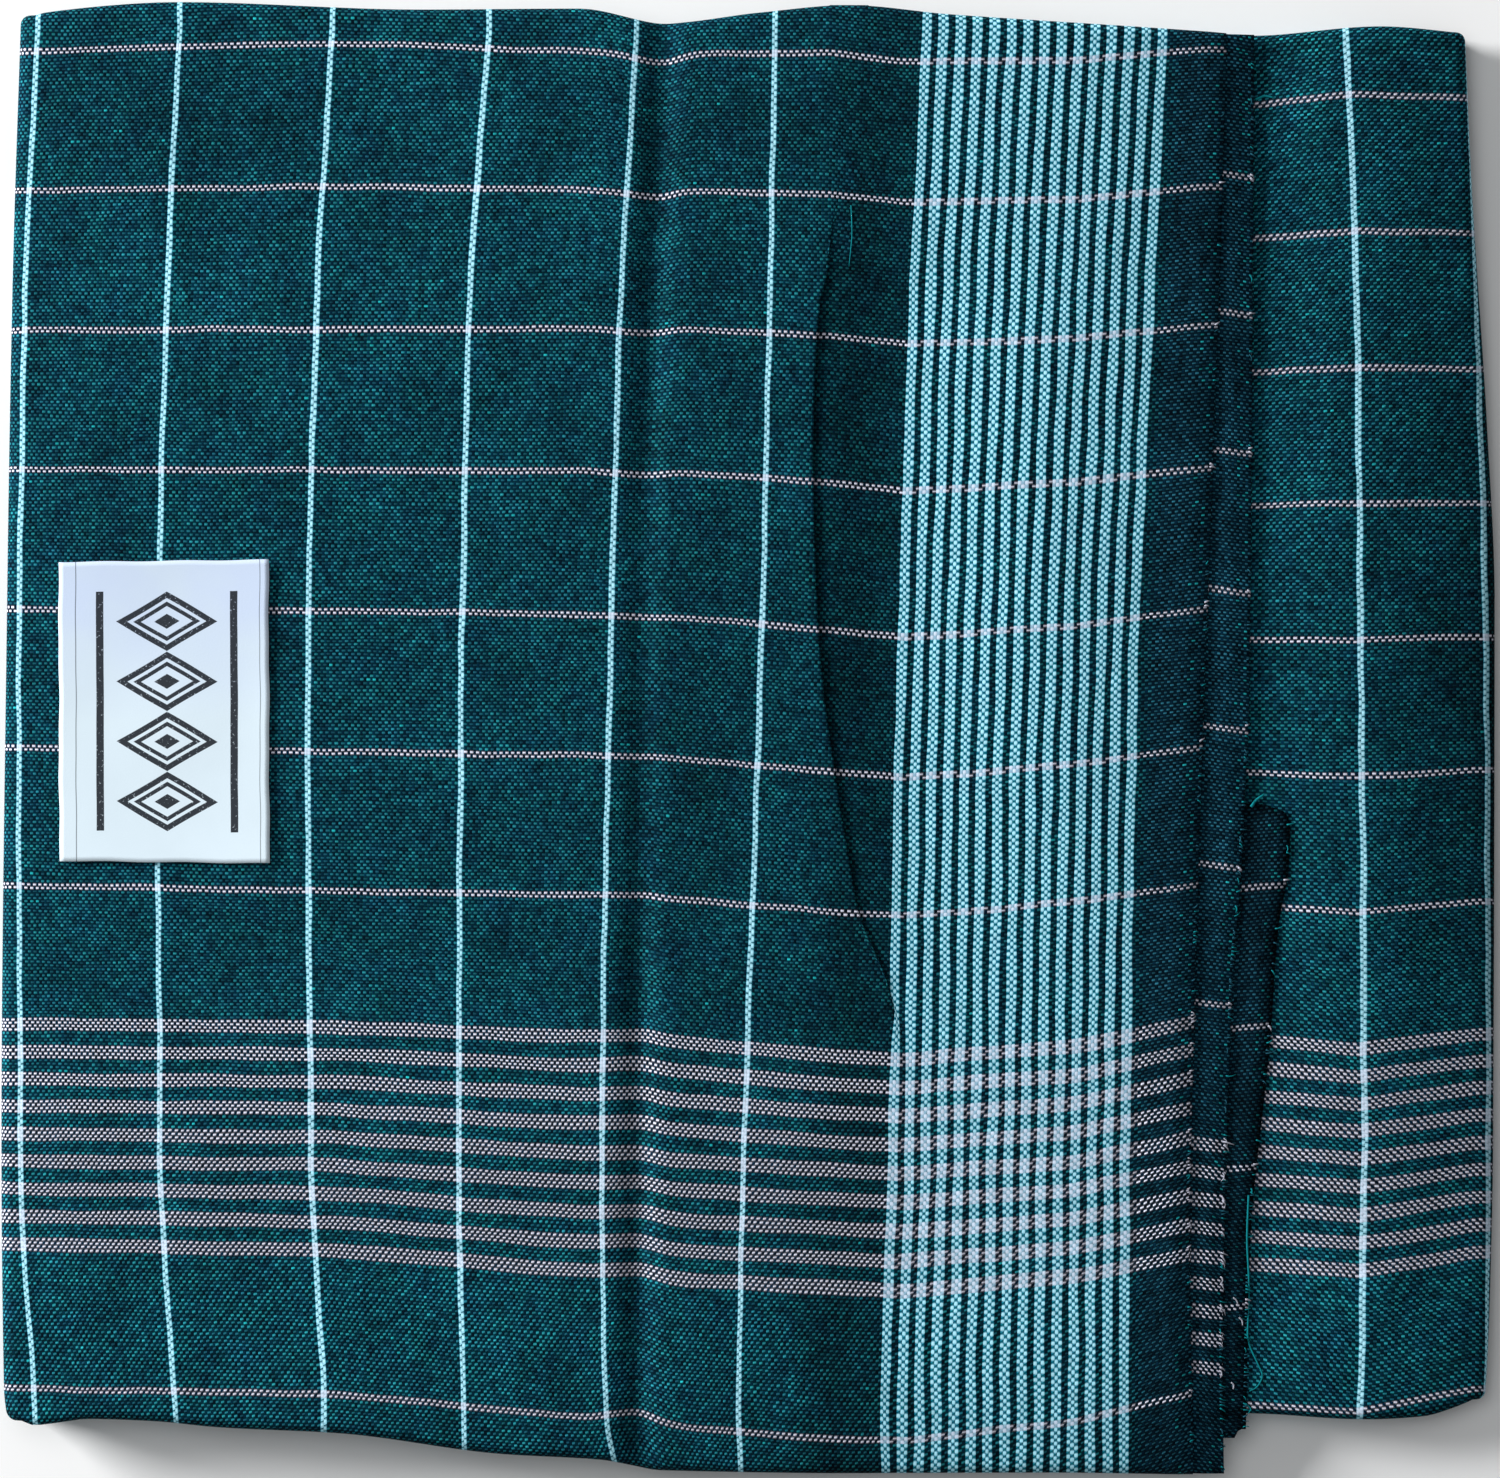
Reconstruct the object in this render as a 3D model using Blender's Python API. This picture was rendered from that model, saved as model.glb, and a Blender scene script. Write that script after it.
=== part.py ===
"""Longyi sarong: one length of checked cotton, folded into a square that lies flat.

The cloth is folded in four across its width and then over and over along its length. Seen from
above, the last ply is a flap that comes round the left fold and ends in a cut edge, and the ply
under it shows from there to the right fold. A paper label lies on the flap.

The origin is under the middle of the square, on the surface that it lies on. +X runs along the
cloth to the right fold, +Y to the back edge and +Z up. Sizes are in millimetres.
"""

import math

import bmesh
import bpy
import numpy as np

MM = 0.001

# Cloth walls: each layer that shows is a wall, and the next one lies a gap under it.
WALL = 1.0
GAP = 0.3
LAYER = WALL + GAP

# Radii of the turns: round the left fold, round the right fold, over the front and back edges.
LEFT_TURN = 2.9
RIGHT_TURN = 2.6
EDGE_TURN = 1.8
FOLD_ANGLE = 152.0

# Where the cut ends' layers begin under the flap, and where the hidden layers step down for them.
HIDDEN_START = 75.3
STEP_TOP = 73.1
STEP_FOOT = 74.1
HIDDEN_INSET = 2.3

# The paper label: middle, size, thickness and turn.
LABEL_X = -117.1
LABEL_Y = 5.7
LABEL_WIDTH = 42.0
LABEL_HEIGHT = 60.2
LABEL_THICKNESS = 0.5
LABEL_TURN = math.radians(0.5)

# Edges, each a smooth line through rows of (place along the edge, place of the edge).
LEFT_FOLD = ((-137.0, -148.6), (-130.0, -149.4), (-80.0, -149.9), (25.0, -148.8), (90.0, -147.7),
             (144.0, -146.0))
RIGHT_FOLD = ((-132.0, 148.0), (-116.0, 148.8), (-80.0, 149.6), (28.0, 149.9), (64.0, 148.3),
              (112.0, 145.2), (143.0, 143.8))
FLAP_FRONT = ((-150.0, -133.6), (-146.0, -136.2), (-106.0, -137.6), (-82.0, -138.8), (-50.0, -143.0),
              (-30.0, -144.2), (-18.0, -146.4), (22.0, -147.0), (60.0, -146.9), (96.0, -147.6))
FLAP_BACK = ((-150.0, 142.6), (-140.0, 145.8), (-114.0, 147.7), (-66.0, 146.2), (-34.0, 146.4),
             (-17.0, 143.5), (2.0, 145.6), (20.0, 147.1), (40.0, 145.3), (96.0, 141.7))
PANEL_FRONT = ((-150.0, -133.4), (-144.0, -136.0), (70.0, -135.6), (100.0, -135.3), (124.0, -136.4),
               (135.0, -135.9), (142.0, -134.0), (150.0, -130.4))
PANEL_BACK = ((-150.0, 142.4), (-140.0, 144.6), (-60.0, 145.0), (-17.0, 142.9), (20.0, 144.6),
              (75.0, 141.8), (101.0, 141.5), (127.0, 143.3), (142.0, 142.2), (150.0, 141.2))

# Cut ends of the three layers, as (y, x).
FLAP_END = ((-148.0, 89.0), (-102.0, 88.2), (-29.0, 89.8), (26.0, 91.7), (83.0, 93.8), (142.0, 95.6))
SECOND_END = ((-148.0, 95.3), (-127.0, 94.8), (-53.0, 96.6), (-25.0, 98.6), (10.0, 100.2), (142.0, 101.2))
THIRD_END = ((-139.6, 99.6), (-104.0, 100.3), (-58.0, 104.6), (-30.0, 108.1), (-20.0, 107.8),
             (-15.6, 105.0), (-13.8, 101.5), (-12.6, 93.4), (0.0, 93.0), (139.0, 93.0))
THIRD_FRONT = -139.4

# Lines of the two long creases, as (y, x).
CREASE_LINE = ((-148.0, -22.3), (-60.0, -22.0), (50.0, -20.6), (100.0, -18.6), (148.0, -16.8))
TUCK_LINE = ((-148.0, 32.0), (-52.0, 27.6), (-28.0, 24.5), (-4.0, 20.0), (20.0, 15.2), (52.0, 13.6),
             (88.0, 14.6), (110.0, 18.2), (148.0, 22.0))

# Height of the flap's face, or of the place it would have past its end, as (x, z).
FACE = ((-150.0, 12.9), (-130.0, 13.5), (-60.0, 13.7), (-21.0, 13.6), (14.0, 13.8), (32.0, 13.4),
        (60.0, 13.6), (72.0, 13.4), (84.0, 12.6), (96.0, 11.8), (103.0, 11.9), (118.0, 13.0),
        (127.0, 12.8), (138.0, 11.8), (150.0, 10.4))

# The crease is a soft valley, steeper on its right side.
CREASE_DEPTH = 0.9
CREASE_LEFT = 4.2
CREASE_RIGHT = 2.2

# At the tuck the cloth steps down and slopes on down to the heading, along part of its line.
TUCK_STEP = 0.9
TUCK_SLOPE = 0.6
TUCK_WIDTH = 2.6
TUCK_RUN = 14.0
TUCK_FADE = 36.0
TUCK_SHARE = ((-148.0, 0.0), (-80.0, 0.0), (-45.0, 0.35), (0.0, 0.9), (55.0, 1.0), (90.0, 0.8),
              (118.0, 0.0), (148.0, 0.0))

# Past the plies below it, the flap's front edge sags, most where it reaches furthest.
FRONT_SAG = 2.6
SAG_START = -122.0
SAG_REACH = 24.0
FULL_OVERHANG = 11.0

# Soft swellings of the face, as (x, y, half length along x, half length along y, height).
SWELLS = ((-118.0, 118.0, 17.0, 12.0, 0.35), (-84.0, 66.0, 22.0, 16.0, 0.30),
          (-50.0, 128.0, 16.0, 12.0, 0.30), (-66.0, -58.0, 26.0, 20.0, 0.35),
          (-120.0, -104.0, 20.0, 14.0, 0.30), (-4.0, -96.0, 14.0, 26.0, 0.30),
          (56.0, 30.0, 16.0, 46.0, 0.25), (118.0, -60.0, 10.0, 30.0, 0.30))

# Hidden plies under the flap: five show as ridges at the front and back, fewer at the folds.
EDGE_RIDGES = 5
LEFT_RIDGES = 2
RIGHT_RIDGES = 1
RIDGE_ROWS = 15
RIDGE_DEPTH = 0.7
PLY_INSET = 0.3
PLY_THICKNESS = 1.6
GROOVE_INSET = 1.5
SHEET_CORNER = 1.4
PLY_CORNER = 2.4

# How finely the sheets are divided.
ROW_SHARES = (0.0, 0.018, 0.045, 0.10, 0.18, 0.27, 0.36, 0.45, 0.54, 0.63, 0.72, 0.82, 0.93, 0.982, 1.0)
END_ROWS = (-139.0, -134.0, -129.0, -124.0, -117.0, -104.0, -85.0, -62.0, -42.0, -27.0, -20.0, -16.5,
            -14.6, -13.4, -12.4, 10.0, 40.0, 70.0, 98.0, 122.0)
END_COLUMNS = (HIDDEN_START, 80.0, 85.0, 89.0, 92.0)
EDGE_ANGLES = (30.0, 60.0, 90.0)
FOLD_STEPS = 7


def along(rows, place):
    """Value at a place on a smooth line through rows of (place, value)"""
    knots, values = np.array(rows, dtype=float).T
    secants = np.diff(values) / np.diff(knots)
    slopes = np.concatenate((secants[:1], secants[1:], secants[-1:]))
    before, after = secants[:-1], secants[1:]
    turning = before * after <= 0
    slopes[1:-1] = np.where(turning, 0.0, 2 * before * after / np.where(turning, 1.0, before + after))
    place = np.clip(np.asarray(place, dtype=float), knots[0], knots[-1])
    index = np.clip(np.searchsorted(knots, place) - 1, 0, len(knots) - 2)
    span = knots[index + 1] - knots[index]
    share = (place - knots[index]) / span
    rest = 1 - share
    start = rest ** 2 * ((1 + 2 * share) * values[index] + share * span * slopes[index])
    end = share ** 2 * ((1 + 2 * rest) * values[index + 1] - rest * span * slopes[index + 1])
    return start + end


def ease(share):
    """Soft change from 0 to 1"""
    share = np.clip(share, 0.0, 1.0)
    return share * share * (3 - 2 * share)


def overhang(x):
    """How far the flap's front edge reaches past the plies below it"""
    return (along(PANEL_FRONT, x) - along(FLAP_FRONT, x)) * (1 - ease((x - 97.0) / 6.0))


def face_height(x, y):
    """Height of the flap's face over a point of the plan"""
    z = along(FACE, x)
    from_crease = x - along(CREASE_LINE, y)
    width = np.where(from_crease < 0, CREASE_LEFT, CREASE_RIGHT)
    z = z - CREASE_DEPTH * np.exp(-(from_crease / width) ** 2)
    from_tuck = x - along(TUCK_LINE, y)
    fallen = TUCK_STEP * ease(from_tuck / TUCK_WIDTH + 0.5) + TUCK_SLOPE * ease(from_tuck / TUCK_RUN)
    z = z - along(TUCK_SHARE, y) * fallen * (1 - ease((from_tuck - TUCK_RUN) / TUCK_FADE))
    for swell_x, swell_y, reach_x, reach_y, height in SWELLS:
        z = z + height * np.exp(-((x - swell_x) / reach_x) ** 2 - ((y - swell_y) / reach_y) ** 2)
    sag = np.clip((SAG_START - y) / SAG_REACH, 0.0, 1.0) ** 2
    return z - FRONT_SAG * sag * np.clip(overhang(x) / FULL_OVERHANG, 0.0, 1.0)


def row_places():
    """Each row of a sheet as (share of the way from front to back, angle turned down over the edge)"""
    front = [(0.0, angle) for angle in reversed(EDGE_ANGLES)]
    back = [(1.0, angle) for angle in EDGE_ANGLES]
    return front + [(share, 0.0) for share in ROW_SHARES] + back


def settle(x_at, front, back, share, inset):
    """Point of the plan where a column's line meets a row's line"""
    y = np.array(0.0)
    for _ in range(6):
        x = x_at(y)
        low, high = front(x) + EDGE_TURN, back(x) - EDGE_TURN
        y = low + share * (high - low)
        if share == 0.0:
            y = front(x) + inset
        if share == 1.0:
            y = back(x) - inset
    return float(x), float(y)


def sheet_points(columns, front, back, drop, turn, side):
    """Outer points of a sheet that turns round one fold and over its front and back edges

    Each column is a function of y, or the angle that it has turned round the fold. The face lies
    a drop under the flap's face, and side is -1 at the left fold and 1 at the right one.
    """
    fold = LEFT_FOLD if side < 0 else RIGHT_FOLD
    grid = []
    for column in columns:
        angle = 0.0 if callable(column) else math.radians(column)
        line = []
        for share, edge_angle in row_places():
            edge_angle = math.radians(edge_angle)
            inset = EDGE_TURN * (1 - math.sin(edge_angle))
            if callable(column):
                x, y = settle(column, front, back, share, inset)
                top = float(face_height(x, y)) - drop
            else:
                start, y = settle(lambda y: along(fold, y) - side * turn, front, back, share, inset)
                x = start + side * turn * math.sin(angle)
                top = float(face_height(start, y)) - drop
            out = np.array((side * math.sin(angle), 0.0, math.cos(angle)))
            point = np.array((x, y, top - turn * (1 - math.cos(angle))))
            line.append(point - out * EDGE_TURN * (1 - math.cos(edge_angle)))
        grid.append(line)
    return np.array(grid)


def sunk(grid, depth):
    """The same points moved into the cloth along the sheet's own normals"""
    across = np.gradient(grid, axis=0)
    back = np.gradient(grid, axis=1)
    normal = np.cross(across, back)
    normal /= np.linalg.norm(normal, axis=2)[..., None]
    return grid - normal * depth


def between(first, last, shares):
    """Columns at shares of the way from one line to another"""
    return [lambda y, share=share: first(y) + share * (last(y) - first(y)) for share in shares]


def beside(line, offsets):
    """Columns that follow a crease line at set distances"""
    return [lambda y, offset=offset: along(line, y) + offset for offset in offsets]


def flap_columns(last):
    """Columns of the flap's face, from the start of the left turn to a last line"""
    start = lambda y: along(LEFT_FOLD, y) + LEFT_TURN
    crease = beside(CREASE_LINE, (-6.0, -2.6, 0.0, 2.2))
    tuck = beside(TUCK_LINE, (-3.6, -1.1, 0.0, 1.1, 3.6))
    columns = [start] + between(start, crease[0], (0.04, 0.12, 0.28, 0.46, 0.64, 0.82))
    columns += crease + between(crease[-1], tuck[0], (0.3, 0.65))
    return columns + tuck + between(tuck[-1], last, (0.2, 0.42, 0.62, 0.8, 0.9)) + [last]


def panel_columns(first):
    """Columns of the under panel's face, to the start of the right turn"""
    last = lambda y: along(RIGHT_FOLD, y) - RIGHT_TURN
    under_ends = beside(((-1.0, 0.0), (1.0, 0.0)), END_COLUMNS[1:])
    shares = (0.14, 0.3, 0.45, 0.58, 0.7, 0.8, 0.88, 0.94)
    return [first] + under_ends + between(under_ends[-1], last, shares) + [last]


def cloth_material(name, colour, roughness):
    """Plain finish in the piece's own colour"""
    material = bpy.data.materials.new(name)
    material.use_nodes = True
    shader = material.node_tree.nodes["Principled BSDF"]
    shader.inputs["Base Color"].default_value = (*colour, 1.0)
    shader.inputs["Roughness"].default_value = roughness
    shader.inputs["Metallic"].default_value = 0.0
    return material


def add_object(name, mesh, material):
    """Object of one sub-part, shaded smooth over its gentle bends"""
    mesh.materials.append(material)
    mesh.shade_smooth()
    mesh.set_sharp_from_angle(angle=math.radians(50.0))
    piece = bpy.data.objects.new(name, mesh)
    bpy.context.scene.collection.objects.link(piece)
    return piece


def add_sheet(name, grid, thickness, material):
    """One sheet as a grid of faces, thickened inwards"""
    columns, rows = grid.shape[:2]
    at = lambda i, j: i * rows + j
    faces = [(at(i, j), at(i + 1, j), at(i + 1, j + 1), at(i, j + 1))
             for i in range(columns - 1) for j in range(rows - 1)]
    mesh = bpy.data.meshes.new(name)
    mesh.from_pydata([tuple(point) for point in grid.reshape(-1, 3) * MM], [], faces)
    piece = add_object(name, mesh, material)
    wall = piece.modifiers.new("Wall", "SOLIDIFY")
    wall.thickness = thickness * MM
    wall.offset = -1.0
    wall.use_even_offset = True
    return piece


def build_flap(material):
    """The uppermost layer, from round the left fold to its cut end"""
    turns = list(np.linspace(FOLD_ANGLE, 0.0, FOLD_STEPS + 1)[:-1])
    columns = turns + flap_columns(lambda y: along(FLAP_END, y))
    grid = sheet_points(columns, lambda x: along(FLAP_FRONT, x), lambda x: along(FLAP_BACK, x),
                        0.0, LEFT_TURN, -1)
    return add_sheet("top_flap", grid, WALL, material)


def build_layer_end(name, end, drop, front, back, material):
    """A flat end of a deeper layer, from under the flap to its own cut end"""
    last = END_COLUMNS[-1]
    columns = beside(((-1.0, 0.0), (1.0, 0.0)), END_COLUMNS)
    columns += between(columns[-1], lambda y: along(end, y), (0.5, 1.0))
    grid = []
    for column in columns:
        line = []
        for place in (None, *END_ROWS, None):
            y = (back if line else front)(column(END_ROWS[-1 if line else 0])) if place is None else place
            x = column(y)
            line.append((float(x), float(y), float(face_height(x, y)) - drop))
        grid.append(line)
    return add_sheet(name, np.array(grid), WALL, material)


def build_layer_ends(material):
    """The second and third layers' cut ends"""
    past_flap = lambda x, y: ease(x - along(FLAP_END, y) - GAP)
    front = lambda x: along(FLAP_FRONT, x) + GAP + HIDDEN_INSET * (1 - past_flap(x, -147.0))
    back = lambda x: along(FLAP_BACK, x) - GAP - HIDDEN_INSET * (1 - past_flap(x, 142.0))
    build_layer_end("second_layer_end", SECOND_END, LAYER, front, back, material)
    third_front = lambda x: THIRD_FRONT
    third_back = lambda x: along(FLAP_BACK, x) - GAP - HIDDEN_INSET
    build_layer_end("third_layer_end", THIRD_END, 2 * LAYER, third_front, third_back, material)


def build_panel(material):
    """The ply under the flap, from under the cut ends to round the right fold"""
    turns = list(np.linspace(0.0, FOLD_ANGLE, FOLD_STEPS + 1)[1:])
    columns = panel_columns(lambda y: HIDDEN_START + 0.0 * y) + turns
    grid = sheet_points(columns, lambda x: along(PANEL_FRONT, x), lambda x: along(PANEL_BACK, x),
                        3 * LAYER, RIGHT_TURN, 1)
    return add_sheet("under_panel", grid, WALL, material)


def hidden_top():
    """Top points of the hidden layers, a gap under the flap and, past the step, under the panel"""
    rows = slice(len(EDGE_ANGLES), -len(EDGE_ANGLES))
    flap = sheet_points(flap_columns(lambda y: STEP_TOP + 0.0 * y), lambda x: along(FLAP_FRONT, x),
                        lambda x: along(FLAP_BACK, x), 0.0, LEFT_TURN, -1)
    panel = sheet_points(panel_columns(lambda y: STEP_FOOT + 0.0 * y), lambda x: along(PANEL_FRONT, x),
                         lambda x: along(PANEL_BACK, x), 3 * LAYER, RIGHT_TURN, 1)
    return sunk(flap[:, rows], LAYER), sunk(panel[:, rows], LAYER)


def arc_profile(turn, foot, angles):
    """Round top of the hidden layers' side, a layer inside the sheet that turns over it"""
    core = turn - LAYER
    return [(turn - core * math.sin(math.radians(angle)), foot + core * math.cos(math.radians(angle)))
            for angle in angles]


def fold_profile(face, turn):
    """Side of the hidden layers inside a fold, as (inset, height) down to the first ridge"""
    under = face - 2 * turn
    groove = [(turn + GAP, under + 2 * GAP), (turn + GAP, under), (turn - GAP, under - 1.5 * GAP)]
    return arc_profile(turn, face - turn, (45.0, 90.0, 125.0, 160.0)) + groove


def edge_profile(foot, reach, ply):
    """Side of the hidden layers at the front or back edge, from the foot of the sheet that turns over it

    ply is 1 where the flap's own hidden layers reach past the plies below by a reach, and 0 elsewhere.
    """
    start = foot - GAP
    groove = LAYER + 2 * GAP / 3
    out = PLY_INSET * ply + groove * (1 - ply)
    thick = PLY_THICKNESS * ply + GAP * (1 - ply)
    lips = [(out + 0.5 * ply, start - 0.1 * thick), (out, start - 0.5 * thick),
            (out + 0.6 * ply, start - thick)]
    return (arc_profile(EDGE_TURN, foot, (45.0, 90.0)) + [(LAYER, start)] + lips
            + [(GROOVE_INSET + reach, start - thick - 0.1)])


def ridge_inset(share, ridges):
    """Inset of the plies' ridges at a share of the way down"""
    return PLY_INSET + RIDGE_DEPTH * (1 - abs(math.sin(math.pi * ridges * share)))


def side_points(top, x, y, place):
    """One vertical line of side points of the hidden layers, down to the surface

    place is (side along x, side along y, share of the flap's ply): -1, 0 or 1 for each side.
    """
    side_x, side_y, ply = place
    turn = LEFT_TURN if side_x < 0 else RIGHT_TURN
    over_flap = x < (STEP_TOP + STEP_FOOT) / 2
    front, back = (FLAP_FRONT, FLAP_BACK) if over_flap else (PANEL_FRONT, PANEL_BACK)
    upper_edge, lower_edge = (front, PANEL_FRONT) if side_y < 0 else (back, PANEL_BACK)
    fold = LEFT_FOLD if side_x < 0 else RIGHT_FOLD
    ridges = LEFT_RIDGES if side_x < 0 else RIGHT_RIDGES
    inward = np.array((-side_x, -side_y), dtype=float)
    upper = np.array((float(along(fold, y)) if side_x else x, float(along(upper_edge, x)) if side_y else y))
    lower = np.array((upper[0], float(along(lower_edge, x)) if side_y else y))
    foot = top + float(face_height(x, upper[1]) - face_height(x, y)) - EDGE_TURN
    if side_x and side_y:
        profile = [((a + c) / 2, (b + d) / 2) for (a, b), (c, d)
                   in zip(fold_profile(top, turn), edge_profile(foot, 0.0, 0.0))]
        upper = upper + inward * SHEET_CORNER
        lower = lower + inward * PLY_CORNER
        inward = inward * 0.75
    elif side_x:
        profile = fold_profile(top, turn)
    else:
        profile = edge_profile(foot, abs(upper[1] - lower[1]), ply)
    points = [(*(upper + inward * inset), z) for inset, z in profile]
    crown = profile[-1][1] - 0.1
    for step in range(RIDGE_ROWS + 1):
        share = step / RIDGE_ROWS
        at_fold = ridge_inset(share, ridges)
        at_edge = ridge_inset(share, EDGE_RIDGES)
        inset = at_fold if side_x and not side_y else at_edge
        if side_x and side_y:
            inset = (at_fold + at_edge) / 2
        points.append((*(lower + inward * inset), crown * (1 - share)))
    return points


def build_hidden_layers(material):
    """All the layers that do not show, as one solid with rounded, layered edges and a flat base"""
    flap, panel = hidden_top()
    top = np.concatenate((flap, panel))
    columns, rows = top.shape[:2]
    flap_last = len(flap) - 1
    shell = bmesh.new()
    verts = [[shell.verts.new(top[i, j] * MM) for j in range(rows)] for i in range(columns)]
    for i in range(columns - 1):
        for j in range(rows - 1):
            shell.faces.new((verts[i][j], verts[i + 1][j], verts[i + 1][j + 1], verts[i][j + 1]))
    ring = [(i, 0) for i in range(columns)] + [(columns - 1, j) for j in range(1, rows)]
    ring += [(i, rows - 1) for i in range(columns - 2, -1, -1)] + [(0, j) for j in range(rows - 2, 0, -1)]
    lines = []
    for i, j in ring:
        side_x = {0: -1, columns - 1: 1}.get(i, 0)
        side_y = {0: -1, rows - 1: 1}.get(j, 0)
        x, y, z = top[i, j]
        ply = 1.0 if i <= flap_last else 0.0
        points = side_points(z + LAYER, x, y, (side_x, side_y, ply))
        lines.append([verts[i][j]] + [shell.verts.new(np.array(point) * MM) for point in points])
    for one, two in zip(lines, lines[1:] + lines[:1]):
        for k in range(len(one) - 1):
            shell.faces.new((two[k], one[k], one[k + 1], two[k + 1]))
    shell.faces.new([line[-1] for line in reversed(lines)])
    mesh = bpy.data.meshes.new("hidden_layers")
    shell.normal_update()
    shell.to_mesh(mesh)
    shell.free()
    return add_object("hidden_layers", mesh, material)


def build_label(material):
    """The paper label, made from the flap's own points moved out"""
    grid = []
    for across in np.linspace(-0.5, 0.5, 8):
        line = []
        for up in np.linspace(-0.5, 0.5, 10):
            local_x, local_y = across * LABEL_WIDTH, up * LABEL_HEIGHT
            x = LABEL_X + local_x * math.cos(LABEL_TURN) - local_y * math.sin(LABEL_TURN)
            y = LABEL_Y + local_x * math.sin(LABEL_TURN) + local_y * math.cos(LABEL_TURN)
            line.append((x, y, float(face_height(x, y)) + GAP + LABEL_THICKNESS))
        grid.append(line)
    return add_sheet("paper_label", np.array(grid), LABEL_THICKNESS, material)


def main():
    for item in list(bpy.data.objects):
        bpy.data.objects.remove(item)
    bpy.context.scene.unit_settings.system = "METRIC"
    cotton = cloth_material("teal_checked_cotton", (0.009, 0.066, 0.090), 0.85)
    inner_cotton = cloth_material("teal_cotton_layers", (0.007, 0.045, 0.062), 0.9)
    paper = cloth_material("white_label_paper", (0.76, 0.86, 0.97), 0.6)
    build_flap(cotton)
    build_layer_ends(cotton)
    build_panel(cotton)
    build_hidden_layers(inner_cotton)
    build_label(paper)


main()
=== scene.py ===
"""Longyi sarong: a checked cotton cloth folded into a flat square, dressed over its solids.

The cloth is woven from threads that the material counts one by one: each sheet carries the number
of the weft thread and of the warp thread at every point, and the stripes and lines are sets of
thread numbers. Lengths are in millimetres until a mesh is made.
"""

import math
import random
from functools import partialmethod

import bpy
import numpy as np
from bpy.props import FloatProperty, FloatVectorProperty, PointerProperty
from bpy.types import Operator, Panel, PropertyGroup
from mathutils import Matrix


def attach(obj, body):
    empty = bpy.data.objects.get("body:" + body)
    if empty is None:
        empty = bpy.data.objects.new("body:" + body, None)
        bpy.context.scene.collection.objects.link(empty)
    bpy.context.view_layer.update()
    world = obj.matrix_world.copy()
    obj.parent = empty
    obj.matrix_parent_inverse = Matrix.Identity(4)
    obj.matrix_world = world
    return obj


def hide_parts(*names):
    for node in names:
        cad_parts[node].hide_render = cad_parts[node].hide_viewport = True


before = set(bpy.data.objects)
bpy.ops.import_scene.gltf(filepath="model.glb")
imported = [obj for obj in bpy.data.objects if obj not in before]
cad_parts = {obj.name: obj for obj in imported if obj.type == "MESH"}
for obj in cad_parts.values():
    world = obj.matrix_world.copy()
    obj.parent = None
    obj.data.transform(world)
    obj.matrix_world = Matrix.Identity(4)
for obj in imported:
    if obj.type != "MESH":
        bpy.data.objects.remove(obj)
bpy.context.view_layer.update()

bl_info = {
    "name": "Folded Longyi Sarong",
    "version": (1, 0, 0),
    "blender": (4, 5, 0),
    "location": "View3D > Sidebar > Longyi",
    "description": "Dresses the folded cloth, its cut ends and its paper label",
    "category": "Object",
}

MM = 0.001

# Cloth layers of the solids, and the thin shells that stand for them.
LAYER = 1.3
SHELL = 0.35

# Radii of the turns: round the left fold, round the right fold, over the front and back edges.
LEFT_TURN = 2.9
RIGHT_TURN = 2.6
EDGE_TURN = 1.8
FOLD_ANGLE = 152.0
HIDDEN_START = 75.3
FLAP_COVERS = 73.6

# Edges, each a smooth line through rows of (place along the edge, place of the edge).
LEFT_FOLD = ((-137, -148.6), (-130, -149.4), (-80, -149.9), (25, -148.8), (90, -147.7), (144, -146))
RIGHT_FOLD = (
    (-132, 148), (-116, 148.8), (-80, 149.6), (28, 149.9), (64, 148.3), (112, 145.2), (143, 143.8))
FLAP_FRONT = (
    (-150, -133.6), (-146, -136.2), (-143.2, -137.2), (-138, -136.6), (-132.5, -135.9), (-120, -136.3),
    (-106, -137.6), (-82, -138.8), (-50, -143), (-30, -144.2), (-18, -146.4), (22, -147), (60, -146.9),
    (96, -147.6))
FLAP_BACK = (
    (-150, 142.6), (-140, 145.8), (-114, 147.7), (-66, 146.2), (-34, 146.4), (-17, 143.5), (2, 145.6),
    (20, 147.1), (40, 145.3), (96, 141.7))
PANEL_FRONT = (
    (-150, -133.4), (-144, -136), (70, -135.6), (100, -135.3), (124, -136.4), (135, -135.9), (142, -134),
    (150, -130.4))
PANEL_BACK = (
    (-150, 142.4), (-140, 144.6), (-60, 145), (-17, 142.9), (20, 144.6), (75, 141.8), (101, 141.5),
    (127, 143.3), (142, 142.2), (150, 141.2))

# Cut ends of the three layers, as (y, x).
FLAP_END = ((-148, 89), (-102, 88.2), (-29, 89.8), (26, 91.7), (83, 93.8), (142, 95.6))
SECOND_END = ((-148, 95.3), (-127, 94.8), (-53, 96.6), (-25, 98.6), (10, 100.2), (142, 101.2))
THIRD_END = (
    (-139.6, 99.6), (-104, 100.3), (-58, 104.6), (-44, 105.5), (-36, 106.3), (-26, 108.1), (-19, 108.4),
    (-15.5, 108.1), (-13.9, 106.6), (-13.1, 104.1), (-12.7, 101.5), (-12.6, 93.4), (0, 93), (139, 93))
THIRD_FRONT = -139.4
HIDDEN_INSET = 2.3

# Lines of the two long creases, as (y, x).
CREASE_LINE = ((-148, -22.3), (-60, -22), (50, -20.6), (100, -18.6), (148, -16.8))
TUCK_LINE = (
    (-148, 32), (-60, 30), (-48.7, 27.9), (-41.5, 25), (-34.3, 22), (-22.7, 19.8), (-5.1, 17), (15.3, 14.4),
    (35.7, 13.3), (57.3, 12.8), (76.7, 13.4), (87.1, 14.2), (94, 15.8), (110, 17.4), (148, 20))

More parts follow.
